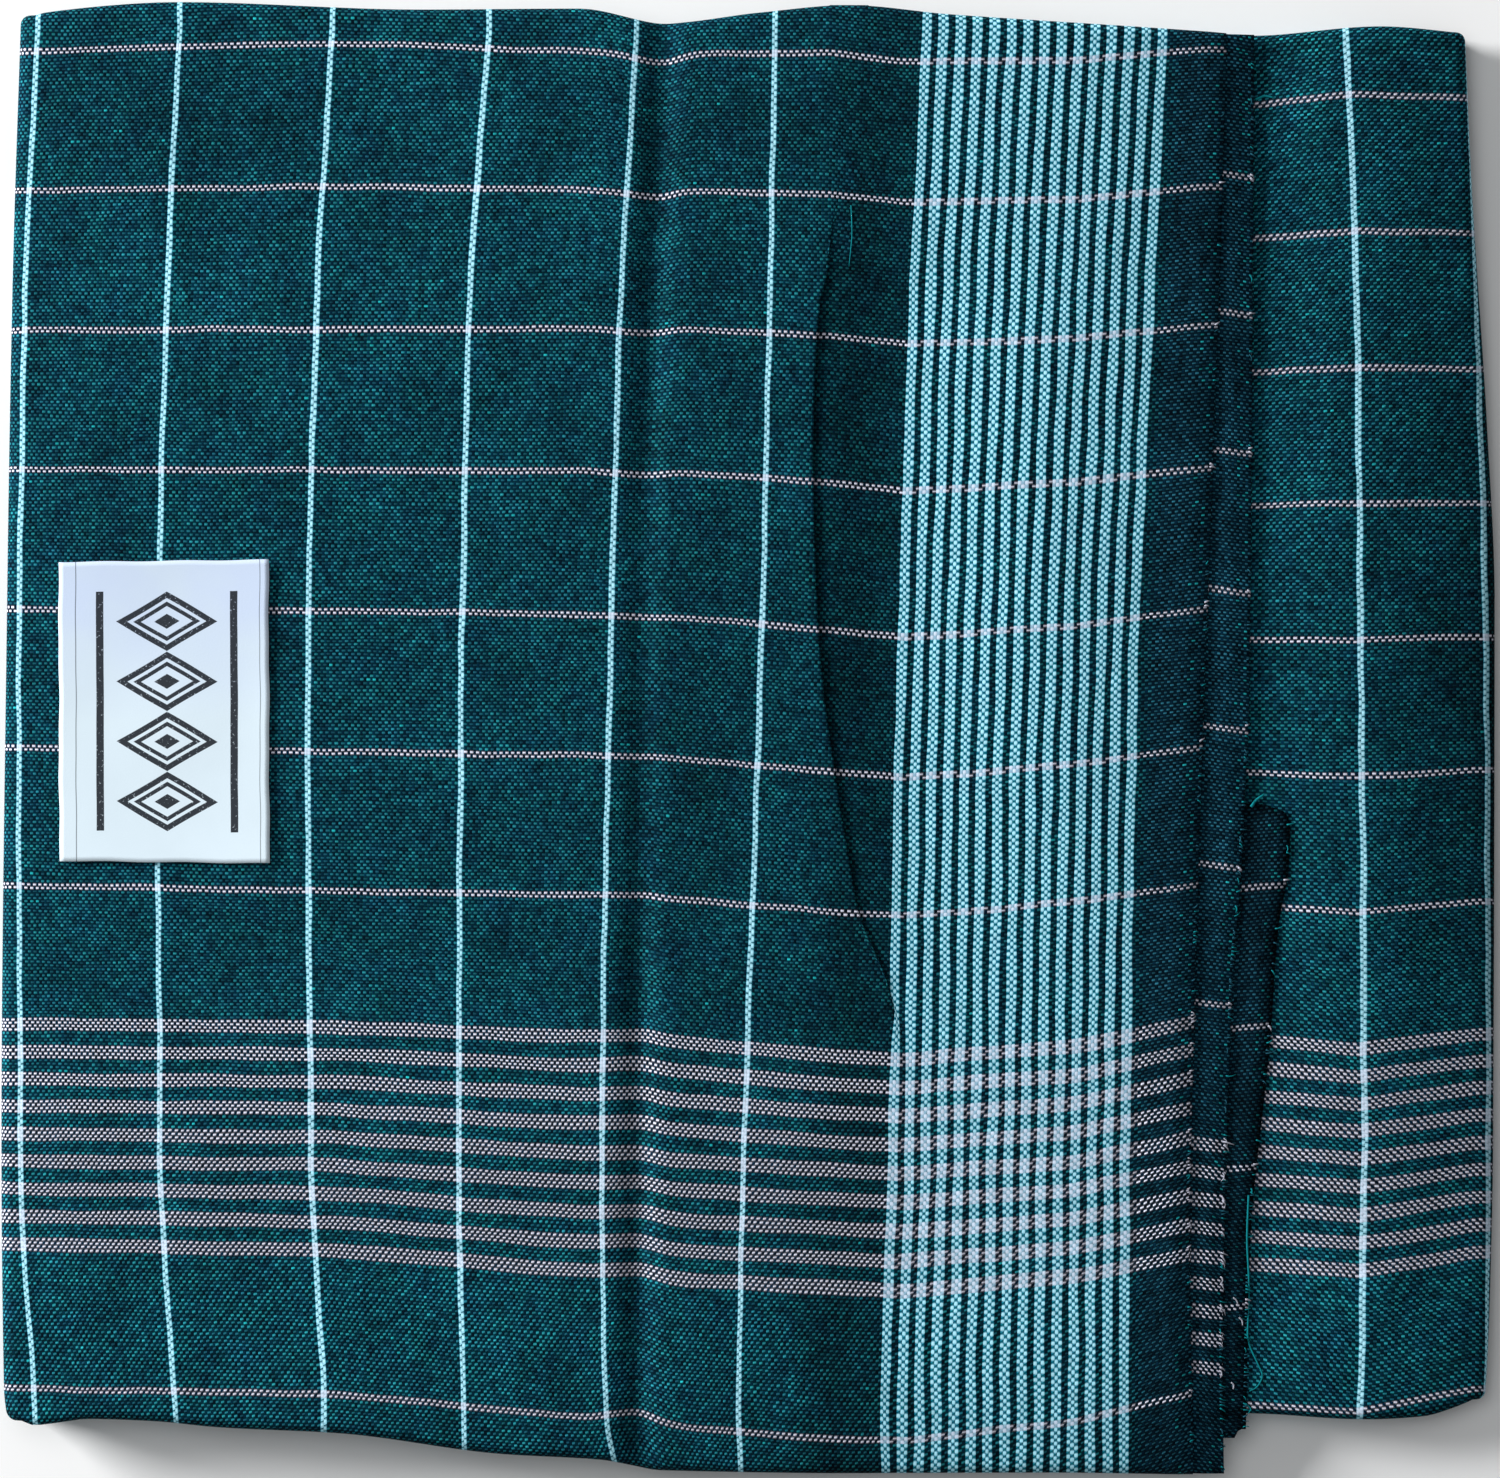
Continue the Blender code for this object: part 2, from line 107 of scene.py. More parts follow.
# Height of the flap's face, or of the place it would have past its end, as (x, z).
FACE = (
    (-150, 12.9), (-130, 13.5), (-60, 13.7), (-21, 13.6), (14, 13.8), (32, 13.4), (60, 13.6), (72, 13.4),
    (84, 12.6), (96, 11.8), (103, 11.9), (118, 13), (127, 12.8), (138, 11.8), (150, 10.4))
CREASE_DEPTH = 1.5
CREASE_LEFT = 3.6
CREASE_RIGHT = 3.0
CREASE_SHARE = ((-148, 1), (-48, 1), (-20, 0.55), (38, 0.55), (70, 1), (148, 1))
TUCK_STEP = 0.9
TUCK_SLOPE = 0.6
TUCK_RUN = 14.0
TUCK_FADE = 36.0
TUCK_SHARE = (
    (-148, 0), (-80, 0), (-45, 0.35), (-10, 0.8), (20, 1), (80, 1), (92, 0.75), (98, 0.35), (118, 0.05),
    (148, 0))
FRONT_SAG = 2.6
SAG_START = -122.0
SAG_REACH = 24.0
FULL_OVERHANG = 11.0

# Soft swellings of the face, as (x, y, half length along x, half length along y, height).
SWELLS = (
    (-118, 118, 17, 12, 0.35), (-84, 66, 22, 16, 0.3), (-50, 128, 16, 12, 0.3), (-66, -58, 26, 20, 0.35),
    (-120, -104, 20, 14, 0.3), (-4, -96, 14, 26, 0.3), (56, 30, 16, 46, 0.25), (118, -60, 10, 30, 0.3))

# Painted light and shade: soft darker and lighter places of the cloth, as (x, y, half length along x, half length along
# y, change).
PAINTED_LIGHT_AND_SHADE = (
    (-112, 122, 26, 12, -0.22), (-122, 95, 16, 13, 0.22), (-60, 100, 30, 24, 0.1), (112, 60, 8, 60, 0.02),
    (146, 20, 18, 90, -0.46), (100.3, -20, 3, 13, -0.5), (97, 20, 5, 80, 0.65), (84, 40, 7, 80, 0.15),
    (118, -118, 22, 16, 0.12), (118, 40, 16, 70, -0.1), (149.8, -10, 3.4, 120, -0.7),
    (-11, 2, 14, 34, -0.2), (-60, -118, 60, 12, 0.15))

# Section of the tuck where it is deepest, as (share of the way across, x, z) beside its line: the
# cloth turns under itself at the line, runs back and turns again to go on to the right.
PLEAT = (
    (0, -4, 0), (0.22, -1.6, 0.03), (0.34, -0.5, 0), (0.39, -0.15, -0.09), (0.43, 0, -0.35),
    (0.47, -0.12, -0.62), (0.51, -0.45, -0.75), (0.58, -0.95, -0.78), (0.61, -1.08, -0.87),
    (0.64, -0.95, -0.96), (0.72, -0.2, -1), (0.82, 1, -1), (1, 4, -1.02))
PLEAT_HALF = 4.0
PLEAT_HIDDEN = 3.4

# Hidden plies, layered at the edges.
EDGE_RIDGES = 5
LEFT_RIDGES = 2
RIGHT_RIDGES = 1
RIDGE_DEPTH = 0.7
PLY_INSET = 0.3
CORNER = 4.0

# Spacing of the threads, and the thread numbers where the cut end and the stripes lie.
WEFT_PITCH = 0.6
WARP_PITCH = 0.695
END_THREAD = 392.0

# Where the weft stripes run, as (x at mid height, weft thread), and how far they move to the right
# at other heights, as rows of y with one shift for each x of STRIPE_SHIFT_AT.
STRIPE_CHART = ((-146.1, 1), (-118.3, 51), (-88.3, 101), (-57.7, 151), (-28.1, 201), (1.9, 251))
HEADING_CHART = ((30.1, 301.5), (76.5, 371.5), (90.1, END_THREAD))
STRIPE_SHIFT_AT = (-146, -118, -88, -58, -28, 2, 30, 76, 90)
STRIPE_SHIFT = (
    (-146, (3.4, 3.8, 3.2, 0.8, 1.4, -3.8, -3, -1.6, -1.6)),
    (-136.3, (3.2, 3.6, 3.2, 0.6, -0.4, -4, -3, -1.6, -1.6)),
    (-88.3, (0.4, 0.6, 0.8, -0.4, -1.4, -3.2, -1.8, -1.4, -1.4)), (3.7, (0, 0, 0, 0, 0, 0, 0, 0, 0)),
    (87.7, (1.2, 1.8, 1.8, 1.8, 2.4, 2.2, 2.8, 3.4, 3.8)),
    (141.7, (3.8, 4.4, 5, 5.6, 5.6, 3.2, 5.4, 6.2, 5.6)))

# Where the warp lines run at the left edge, as (y, warp thread), and how far they drop to the right
# of it, as rows of that y with one drop for each x of LINE_DROP_AT.
LINE_CHART = ((-129.7, 425), (-100.9, 386), (-56.9, 322), (-29.1, 281), (54.1, 161), (137.7, 41))
LINE_DROP_AT = (-146, -84, -20, 16, 31, 65, 92)
LINE_DROP = (
    (-129.7, (0, 1, 7, 10.2, 10.6, 6.6, 0.2)), (-100.9, (0, 1, 6.6, 8.6, 9.2, 6.4, 1.2)),
    (-56.9, (0, 0.4, 3, 6.2, 7, 4.4, -1)), (-29.1, (0, 1, 2.2, 5.2, 6.2, 3.2, -0.4)),
    (26.1, (0, 0.4, 1.4, 4.2, 5.8, 3.4, 0)), (81.9, (0, -0.2, -0.4, 1, 2.8, 1.6, -1)),
    (137.7, (0, -1.6, 0.4, 0.4, 2, 1.8, -0.6)))

# The same for the under panel: its two stripes, the second one on the right fold, as (y, x), and its
# warp lines.
PANEL_STRIPE = ((-136.3, 122.5), (-88.3, 123.3), (3.7, 122.7), (87.7, 121.7), (141.7, 119.7))
PANEL_NEXT_STRIPE = ((-136.3, 148.5), (-88.3, 148.6), (3.7, 148.2), (87.7, 146.2), (141.7, 145.2))
PANEL_SPACING = 36.0
PANEL_CHART = ((-134.7, 425), (-106.7, 386), (-61.9, 322), (-34.5, 281), (47.5, 161), (129.5, 41))
PANEL_DROP_AT = (102, 122, 146)
PANEL_DROP = (
    (-134.7, (-1.4, 0, -4.4)), (-61.9, (-1.6, 0, -2.8)), (20, (0, 0, -0.6)), (75, (1, 0, 0.4)),
    (129.5, (2, 0, 0.6)))

# Warp threads of the second and third layers' ends, as (y, warp thread).
SECOND_CHART = ((-125.9, 386), (-81.3, 322), (-52.9, 281), (113.7, 41))
THIRD_CHART = ((-142, 241), (-30.3, 81))
SECOND_LINE_DROP = 0.13
THIRD_LINE_DROP = -0.08

# Light threads by their numbers: weft stripes, the heading and the ragged threads of the cut end, then
# the warp lines, the border and the outermost line.
SINGLES_END = 270.0
HEADING = (300.0, 375.0)
RAGGED = (387.0, 391.0)
LINES = (20.0, 290.0)
BORDER = (320.0, 388.0)
OUTER_LINE = (424.0, 426.0)

# Where the meshes of the deeper ends start, where their warp lines are level with their charts, the upper edge of the
# third layer, and the painted shade that makes the whole third layer darker.
ENDS_START = 80.0
ENDS_LEVEL = 93.0
THIRD_TOP = -12.7
THIRD_PAINTED_SHADE = 0.66

# Frayed ends, as (from y, to y, where they thin out, share of the threads, length, length of the light
# threads, slant).
FLAP_FRINGE = (-145.5, 140.0, 20.0, 0.20, 0.5, 0.45, 0.2)
SECOND_FRINGE = (-146.5, 139.0, -20.0, 0.50, 0.9, 1.7, -0.4)
THIRD_FRINGE = (-138.6, -17.0, -100.0, 0.55, 0.9, 0.9, -0.2)

# Steps of the meshes: over an edge, round a fold, across the tuck and across the panel.
EDGE_STEPS = 7
FOLD_STEPS = 14
TUCK_STEPS = 34
PANEL_STEPS = 46

# The label's middle and its paper's thickness.
LABEL_PLACE = (-117.0, 5.7)
PAPER_SHELL = 0.16

# Height of the cloth and width of the view at that height, in metres.
STACK_TOP = 0.013
VIEW_WIDTH = 0.3

# Colour sockets of Blender's mix node.
MIX_INPUTS = (6, 7)
MIX_OUTPUT = 2


def along(rows, place):
    """Value at a place on a smooth line through rows of (place, value)"""
    knots, values = np.array(rows, dtype=float).T
    secants = np.diff(values) / np.diff(knots)
    slopes = np.concatenate((secants[:1], secants[1:], secants[-1:]))
    before, after = secants[:-1], secants[1:]
    turning = before * after <= 0
    slopes[1:-1] = np.where(turning, 0.0, 2 * before * after / np.where(turning, 1.0, before + after))
    place = np.clip(np.asarray(place, dtype=float), knots[0], knots[-1])
    index = np.clip(np.searchsorted(knots, place) - 1, 0, len(knots) - 2)
    span = knots[index + 1] - knots[index]
    share = (place - knots[index]) / span
    rest = 1 - share
    start = rest ** 2 * ((1 + 2 * share) * values[index] + share * span * slopes[index])
    end = share ** 2 * ((1 + 2 * rest) * values[index + 1] - rest * span * slopes[index + 1])
    return start + end


def beyond(rows, place):
    """The same line, going on straight past its ends"""
    place = np.asarray(place, dtype=float)
    (first, low), (second, low_next) = rows[0], rows[1]
    (last_but, high_before), (last, high) = rows[-2], rows[-1]
    value = along(rows, place)
    value = np.where(place < first, low + (place - first) * (low_next - low) / (second - first), value)
    return np.where(place > last, high + (place - last) * (high - high_before) / (last - last_but), value)


def ease(share):
    """Soft change from 0 to 1"""
    share = np.clip(share, 0.0, 1.0)
    return share * share * (3 - 2 * share)


def table_at(rows, places, at, across):
    """Value of a table of (at, one value for each place across) at points"""
    marks = [row[0] for row in rows]
    columns = [along([(mark, row[1][k]) for mark, row in zip(marks, rows)], at) for k in range(len(places))]
    value = np.array(columns[0], dtype=float)
    for k in range(len(places) - 1):
        share = np.clip((across - places[k]) / (places[k + 1] - places[k]), 0.0, 1.0)
        value = value + (columns[k + 1] - columns[k]) * share
    return value


def overhang(x):
    """How far the flap's front edge reaches past the plies below it"""
    return (along(PANEL_FRONT, x) - along(FLAP_FRONT, x)) * (1 - ease((x - 97.0) / 6.0))


def plain_height(x, y):
    """Height of the flap's face without its tuck"""
    z = along(FACE, x)
    from_crease = x - along(CREASE_LINE, y)
    width = np.where(from_crease < 0, CREASE_LEFT, CREASE_RIGHT)
    z = z - CREASE_DEPTH * along(CREASE_SHARE, y) * np.exp(-(from_crease / width) ** 2)
    for swell_x, swell_y, reach_x, reach_y, height in SWELLS:
        z = z + height * np.exp(-((x - swell_x) / reach_x) ** 2 - ((y - swell_y) / reach_y) ** 2)
    sag = np.clip((SAG_START - y) / SAG_REACH, 0.0, 1.0) ** 2
    return z - FRONT_SAG * sag * np.clip(overhang(x) / FULL_OVERHANG, 0.0, 1.0)


def tuck_drop(x, y):
    """How far the face has dropped to the right of the tuck"""
    past = x - along(TUCK_LINE, y)
    dropped = TUCK_STEP + TUCK_SLOPE * ease(past / TUCK_RUN)
    dropped = np.where(past > 0, dropped, 0.0)
    return along(TUCK_SHARE, y) * dropped * (1 - ease((past - TUCK_RUN) / TUCK_FADE))


def tuck_fold(y):
    """How fully the cloth is folded under at the tuck, from 0 to 1"""
    return ease((along(TUCK_SHARE, y) - 0.05) / 0.45)


def weft_number(x, y, past_tuck):
    """Weft thread at points of the flap's face, counted to the right"""
    level = np.array(x, dtype=float)
    for _ in range(6):
        level = x - table_at(STRIPE_SHIFT, STRIPE_SHIFT_AT, y, level)
    left, right = STRIPE_CHART[-1], HEADING_CHART[0]
    hidden = PLEAT_HIDDEN * tuck_fold(y)
    share = (level - left[0]) / (right[0] - left[0])
    middle = left[1] + share * (right[1] - left[1] - hidden) + hidden * past_tuck
    number = np.where(share < 0, beyond(STRIPE_CHART, level), middle)
    return np.where(share > 1, beyond(HEADING_CHART, level), number)


def warp_number(x, y, chart=LINE_CHART, drops=LINE_DROP, places=LINE_DROP_AT):
    """Warp thread at points, counted from the back edge to the front"""
    level = np.array(y, dtype=float)
    for _ in range(6):
        level = y + table_at(drops, places, level, x)
    return beyond(chart, level)


def crease_kink(x, y):
    """How far the warp lines move down where they cross the crease"""
    from_crease = x - along(CREASE_LINE, y)
    width = np.where(from_crease < 0, 8.0, 4.5)
    return y * 0.0125 * np.exp(-(from_crease / width) ** 2)


def edge_rows(steps):
    """Rows of a sheet: share of the way from front to back, and angle turned over the edge"""
    turned = [math.radians(90.0 * (k + 1) / EDGE_STEPS) for k in range(EDGE_STEPS)]
    share = [0.0] * EDGE_STEPS + [k / steps for k in range(steps + 1)] + [1.0] * EDGE_STEPS
    return np.array(share), np.array(turned[::-1] + [0.0] * (steps + 1) + turned)


def over_edges(share, edge_angle):
    """How many warp threads have passed where a sheet turns over its front and back edges"""
    past = EDGE_TURN * (edge_angle - np.sin(edge_angle)) / WARP_PITCH
    return np.where(share < 0.5, past, -past)


def between(first, last, steps, bias=1.0):
    """Columns that divide the way from one line to another, without the first line"""
    def column(share):
        return lambda y: first(y) + share * (last(y) - first(y))
    return [column(((k + 1) / steps) ** bias) for k in range(steps)]


def beside(line, offset):
    """Line that follows another at a set distance"""
    return lambda y: along(line, y) + offset


def upright(x):
    """Straight line from front to back"""
    return lambda y: x + 0.0 * y


def settle(line, front, back, share, edge_angle):
    """Points of the plan where a column's line meets the rows"""
    y = np.zeros_like(share)
    for _ in range(8):
        x = line(y)
        inset = EDGE_TURN * (1 - np.sin(edge_angle))
        low, high = along(front, x), along(back, x)
        turned = np.where(share < 0.5, low + inset, high - inset)
        flat = low + EDGE_TURN + share * (high - low - 2 * EDGE_TURN)
        y = np.where(edge_angle > 0, turned, flat)
    return x, y


def turned_point(x, y, top, angle, side, turn, edge_angle):
    """Points of a sheet after its turn round a fold and over an edge"""
    across = x + side * turn * math.sin(angle)
    z = top - turn * (1 - math.cos(angle))
    sunk = EDGE_TURN * (1 - np.cos(edge_angle))
    return np.stack((across - side * math.sin(angle) * sunk, y, z - math.cos(angle) * sunk), axis=-1)


def finish_piece(mesh, material, shell=0.0):
    """Object of one piece, shaded smooth, riding on the part's one body"""
    mesh.materials.append(material)
    mesh.shade_smooth()
    piece = bpy.data.objects.new(mesh.name, mesh)
    bpy.context.scene.collection.objects.link(piece)
    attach(piece, "root")
    if shell:
        wall = piece.modifiers.new("Thickness", "SOLIDIFY")
        wall.thickness = shell * MM
        wall.offset = -1.0
    return piece


def painted_light_and_shade_at(x, y):
    """Painted light and shade at points of the plan, as a share to add: the listed darker and lighter patches, painted
    shade in the crease, at the front edge and right of the crease, and a painted shadow beside the tuck
    """
    tone = np.ones_like(x)
    for spot_x, spot_y, reach_x, reach_y, change in PAINTED_LIGHT_AND_SHADE:
        tone = tone * (1 + change * np.exp(-((x - spot_x) / reach_x) ** 2 - ((y - spot_y) / reach_y) ** 2))
    # Painted shade in the crease, deeper towards the front.
    from_crease = x - along(CREASE_LINE, y)
    deeper = 0.20 + 0.20 * ease((20.0 - y) / 40.0)
    tone = tone * (1 - deeper * np.exp(-((from_crease + 1.2) / 2.0) ** 2))
    # Painted shadow along the right of the tuck's edge.
    from_tuck = x - along(TUCK_LINE, y)
    tone = tone * (1 - 0.5 * along(TUCK_SHARE, y) * np.exp(-((from_tuck - 0.4) / 0.45) ** 2))
    # Painted shade along the front edge, where the cloth turns down.
    from_front = y - np.where(x < 92.0, along(FLAP_FRONT, x), along(PANEL_FRONT, x))
    tone = tone * (1 - 0.55 * np.exp(-(from_front / 1.2) ** 2))
    # Painted shade over the face just right of the crease, fading out before the tuck.
    past = ease((from_crease + 1.0) / 3.0) * (1 - ease((x - 20.0) / 12.0))
    return tone * (1 - 0.12 * past) - 1


def lean_at(x, y, weft):
    """How far the warp's dashes slant across their thread: up to the right on the flap, the other
    way on the ends below it, and turning round halfway up the under panel"""
    flap = ease((-50.0 - y) / 40.0) * (1 - 2 * ease((x - 86.0) / 6.0))
    panel = np.clip(y / 80.0, -1.0, 1.0)
    return np.where((x > 60.0) & (weft < 100.0), panel, flap)


def add_map(mesh, name, values, corners):
    """Map of a mesh that gives each corner of its faces the two values of its point"""
    layer = mesh.uv_layers.new(name=name)
    layer.data.foreach_set("uv", values.reshape(-1, 2)[corners].astype(np.float32).reshape(-1))


def grid_mesh(name, points, threads, painted_rim_shadow=0.0):
    """Mesh of a grid of points, with the thread numbers, the painted light and shade and the slant of the dashes as its
    maps
    """
    columns, rows = points.shape[:2]
    index = np.arange(columns * rows).reshape(columns, rows)
    faces = np.stack((index[:-1, :-1], index[1:, :-1], index[1:, 1:], index[:-1, 1:]), axis=-1).reshape(-1, 4)
    mesh = bpy.data.meshes.new(name)
    mesh.from_pydata((points.reshape(-1, 3) * MM).tolist(), [], faces.tolist())
    corners = faces.reshape(-1)
    add_map(mesh, "threads", threads, corners)
    x, y = points[..., 0], points[..., 1]
    tone = painted_light_and_shade_at(x, y)
    # On the third layer: painted shade over the whole sheet, and a painted shadow along its upper edge and cut end.
    if painted_rim_shadow:
        from_top = np.minimum(THIRD_TOP - y, 1.6 * (along(THIRD_END, y) - x))
        tone = (tone + 1) * THIRD_PAINTED_SHADE * (1 - painted_rim_shadow * np.exp(-(from_top / 2.0) ** 2)) - 1
    add_map(mesh, "tone", np.stack((tone, lean_at(x, y, threads[..., 0])), axis=-1), corners)
    return mesh


class Value:
    """Value in a material. What is worked out from it adds the nodes that do so."""

    def __init__(self, graph, socket):
        self.graph, self.socket = graph, socket

    def do(self, operation, *others, clamp=False):
        return self.graph.math(operation, self, *others, clamp=clamp)

    __add__ = partialmethod(do, "ADD")
    __sub__ = partialmethod(do, "SUBTRACT")
    __mul__ = partialmethod(do, "MULTIPLY")
    __truediv__ = partialmethod(do, "DIVIDE")
    __mod__ = partialmethod(do, "FLOORED_MODULO")
    __lt__ = partialmethod(do, "LESS_THAN")
    __gt__ = partialmethod(do, "GREATER_THAN")
    __abs__ = partialmethod(do, "ABSOLUTE")
    floor = partialmethod(do, "FLOOR")
    fraction = partialmethod(do, "FRACT")
    power = partialmethod(do, "POWER")
    at_least = partialmethod(do, "MAXIMUM")

    def __rsub__(self, other):
        return self.graph.math("SUBTRACT", other, self)

    def fit(self, gain, offset, clamp=False):
        """The value times a gain, plus an offset, and held from 0 to 1 if it is clamped"""
        return self.do("MULTIPLY_ADD", gain, offset, clamp=clamp)

    def spread(self, low, high):
        """A value from 0 to 1 taken to the range from low to high"""
        return self.fit(high - low, low)

    def band(self, low, high):
        """1 where low <= value < high"""
        return (self > low - 0.01) * (self < high - 0.01)

    def outside(self, other):
        """The value, less another, but never below 0"""
        return self.do("SUBTRACT", other, clamp=True)


class Graph:
    """Short ways to add and join the nodes of one material"""

    def __init__(self, name):
        self.material = bpy.data.materials.new(name)
        self.material.use_nodes = True
        self.tree = self.material.node_tree
        self.shader = self.tree.nodes["Principled BSDF"].inputs

    def join(self, value, socket):
        """Link a value to a socket, or set the socket to a number, a colour or a place"""
        if isinstance(value, tuple) and socket.type == "VECTOR":
            value = self.node("ShaderNodeCombineXYZ", enumerate(value))
        if isinstance(value, Value):
            self.tree.links.new(value.socket, socket)
        else:
            socket.default_value = (*value, 1.0) if socket.type == "RGBA" else value

    def node(self, kind, inputs=(), output=0, **settings):
        """Output of a new node whose inputs are given as pairs of socket and value"""
        made = self.tree.nodes.new(kind)
        for key, value in settings.items():
            setattr(made, key, value)
        for key, value in inputs:
            self.join(value, made.inputs[key])
        return Value(self, made.outputs[output])

    def math(self, operation, *values, clamp=False):
        return self.node("ShaderNodeMath", enumerate(values), operation=operation, use_clamp=clamp)

    def mix(self, share, one, two):
        """A colour or a value between two others"""
        inputs = (("Factor", share), (MIX_INPUTS[0], one), (MIX_INPUTS[1], two))
        return self.node("ShaderNodeMix", inputs, MIX_OUTPUT, data_type="RGBA", clamp_factor=True)

    def noise(self, place, scale=1.0, detail=3.0):
        return self.node("ShaderNodeTexNoise", (("Vector", place), ("Scale", scale), ("Detail", detail)), "Fac")

    def white(self, place):
        return self.node("ShaderNodeTexWhiteNoise", (("Vector", place),), "Value", noise_dimensions="3D")

    def map(self, name):
        """The two values of one of the mesh's maps"""
        first = self.node("ShaderNodeSeparateXYZ", ((0, self.node("ShaderNodeUVMap", uv_map=name)),))
        return first, Value(self, first.socket.node.outputs[1])

    def place(self):
        """Place on the object itself"""
        return self.node("ShaderNodeTexCoord", output="Object")

    def bump(self, height, strength, distance):
        relief = (("Strength", strength), ("Distance", distance * MM), ("Height", height))
        self.join(self.node("ShaderNodeBump", relief), self.shader["Normal"])

    def surface(self, colour, roughness, specular=0.5):
        """The material, once its colour, roughness and specular level are set"""
        for key, value in (("Base Color", colour), ("Roughness", roughness), ("Specular IOR Level", specular)):
            self.join(value, self.shader[key])
        return self.material


def times(colour, share):
    """Colour made darker or lighter"""
    return tuple(share * c for c in colour)


def weave_material(name, cloth):
    """Plain weave whose threads take their colours by number"""
    g = Graph(name)
    plain_u, plain_v = g.map("threads")

    def cloud(across, down, offset=0.0, detail=3.0):
        return g.noise((plain_u * across, plain_v * down, offset), detail=detail)

    # Hand-woven threads wander a little.
    u = plain_u + cloud(0.10, 0.035).spread(-0.9, 0.9)
    v = plain_v + cloud(0.035, 0.10, 7.0).spread(-0.9, 0.9)
    weft, warp = u.floor(), v.floor()

    # Which threads are light: single weft stripes and the heading, warp lines and the border.
    spacing = (weft < 5.0).fit(-14.0, 50.0)
    single = (weft % spacing < 1.5) * (weft < SINGLES_END)
    light_weft = single.at_least((weft % 5.0 < 2.5) * weft.band(*HEADING))
    line = (warp % 40.0 < 1.5) * warp.band(*LINES)
    border = (warp % 8.0 < 3.5) * warp.band(*BORDER)
    light_warp = line.at_least(warp.band(*OUTER_LINE)).at_least(border)
    past_heading = weft.fit(0.2, -74.6, clamp=True)

    # Each thread is round, rises over one neighbour and sinks under the next. The warp stands out,
    # as rows of short dashes, except over the bulkier light weft.
    def roundness(value):
        off = value.fit(2.0, -1.0)
        return 1.0 - off * off

    def wave(value, number):
        swing = (value * math.pi).do("SINE") * (number % 2.0).fit(-2.0, 1.0)
        return swing * (swing * swing).fit(-0.5, 1.5)

    in_v = v.fraction()
    warp_round, weft_round = roundness(in_v), roundness(u.fraction())
    # The tone map carries the painted light and shade of the sheet and the slant of the dashes.
    ink_wear_and_painted_shade, lean = g.map("tone")
    slant = abs(lean)
    warp_height = wave(u + lean * (in_v - 0.5), warp).fit(0.5, warp_round * 0.4)
    weft_height = wave(v, weft).fit(-0.5, weft_round * 0.4)
    bulk = past_heading.fit(-0.65, light_warp.fit(-0.4, light_weft.fit(-1.6, 0.75)))
    lead = warp_height - weft_height + bulk
    warp_on_top = lead.fit(2.6, 0.5, clamp=True)
    height = warp_height.at_least(weft_height)

    # Threads differ in tone along their length, with short bright slubs and soft patches.
    weft_tone = g.noise((weft * 5.3, plain_v * 0.12))
    warp_tone = g.noise((plain_u * 0.12, warp * 5.3, 3.0))
    slub = g.noise((plain_u * 0.33, warp * 3.1, 21.0), detail=1.0).fit(15.0, -11.6, clamp=True)
    ragged = weft.band(*RAGGED) * 0.18
    spot = (g.white(((weft * 0.4).floor(), warp, 4.0)) + ragged > 0.9978) * 0.8
    slub = slub.at_least(spot) * warp_round
    cell = g.white((weft, warp))
    mottle, patch = cloud(0.30, 0.30, 5.0), cloud(0.045, 0.040, detail=4.0)
    near_heading = weft.fit(0.07, -18.7, clamp=True) - past_heading

    # Colours of the warp, of the weft and of the places where light threads cross, with a painted highlight on the warp
    # dashes' crowns.
    hue = cloud(0.10, 0.10, 11.0).spread(-0.4, 1.4) + cell.spread(-0.3, 0.3)
    ground = g.mix(past_heading, g.mix(hue, cloth.warp_ground, cloth.warp_green), cloth.end_warp)
    # Painted highlight: a paler colour at the crown of each warp dash.
    crown = warp_round.power(3.0) * lead.fit(0.8, -0.9, clamp=True)
    ground = g.mix(slub, g.mix(crown * 0.22, ground, cloth.crown), cloth.slub)
    off_middle = abs(u % spacing - 1.0)
    solid = single * off_middle.fit(-5.0, 4.9, clamp=True)
    full = weft_height.fit(1.35, 0.12, clamp=True).at_least(solid * 0.78) * (1.0 - single + solid)
    # Painted shade and highlight on the light weft: deep cyan where it dips, pale where it rises.
    stripe = g.mix(full, cloth.stripe_dip_painted_shade, cloth.weft_stripe)
    weft_colour = g.mix(light_weft, g.mix(past_heading, cloth.weft_ground, cloth.end_weft), stripe)
    colour = g.mix(warp_on_top, weft_colour, g.mix(light_warp, ground, cloth.warp_line))
    colour = g.mix(light_warp * (light_weft * full.fit(0.55, 0.4)), colour, cloth.crossing)

    # Dashes fade where they dip, and the rows are parted by thin dark lines.
    in_gap = light_warp * weft.band(*HEADING).outside(light_weft)
    thin = light_warp.at_least(past_heading).fit(1.6, 1.6) + in_gap * 2.5
    gain = past_heading * light_warp.fit(0.55, 0.40)
    sharp = past_heading.fit(-0.35, lead * (gain + 0.75))
    dash = slant.fit((light_warp * past_heading).fit(0.40, -0.42), sharp, clamp=True)
    dash = dash * slant.fit(0.45, 1.0) * warp_round.power(thin * slant.fit(-0.45, 1.0)) * in_gap.fit(-0.45, 1.0)
    deep = g.mix(warp_on_top, weft_round.fit(0.6, 0.3), dash.fit(1.25, 0.08))
    rope = height.at_least(0.0).fit(0.4, 0.66) * warp.band(*BORDER).outside(light_warp).fit(-0.10, 1.0)
    shade = g.mix(light_weft, deep, single.fit(0.10, rope))

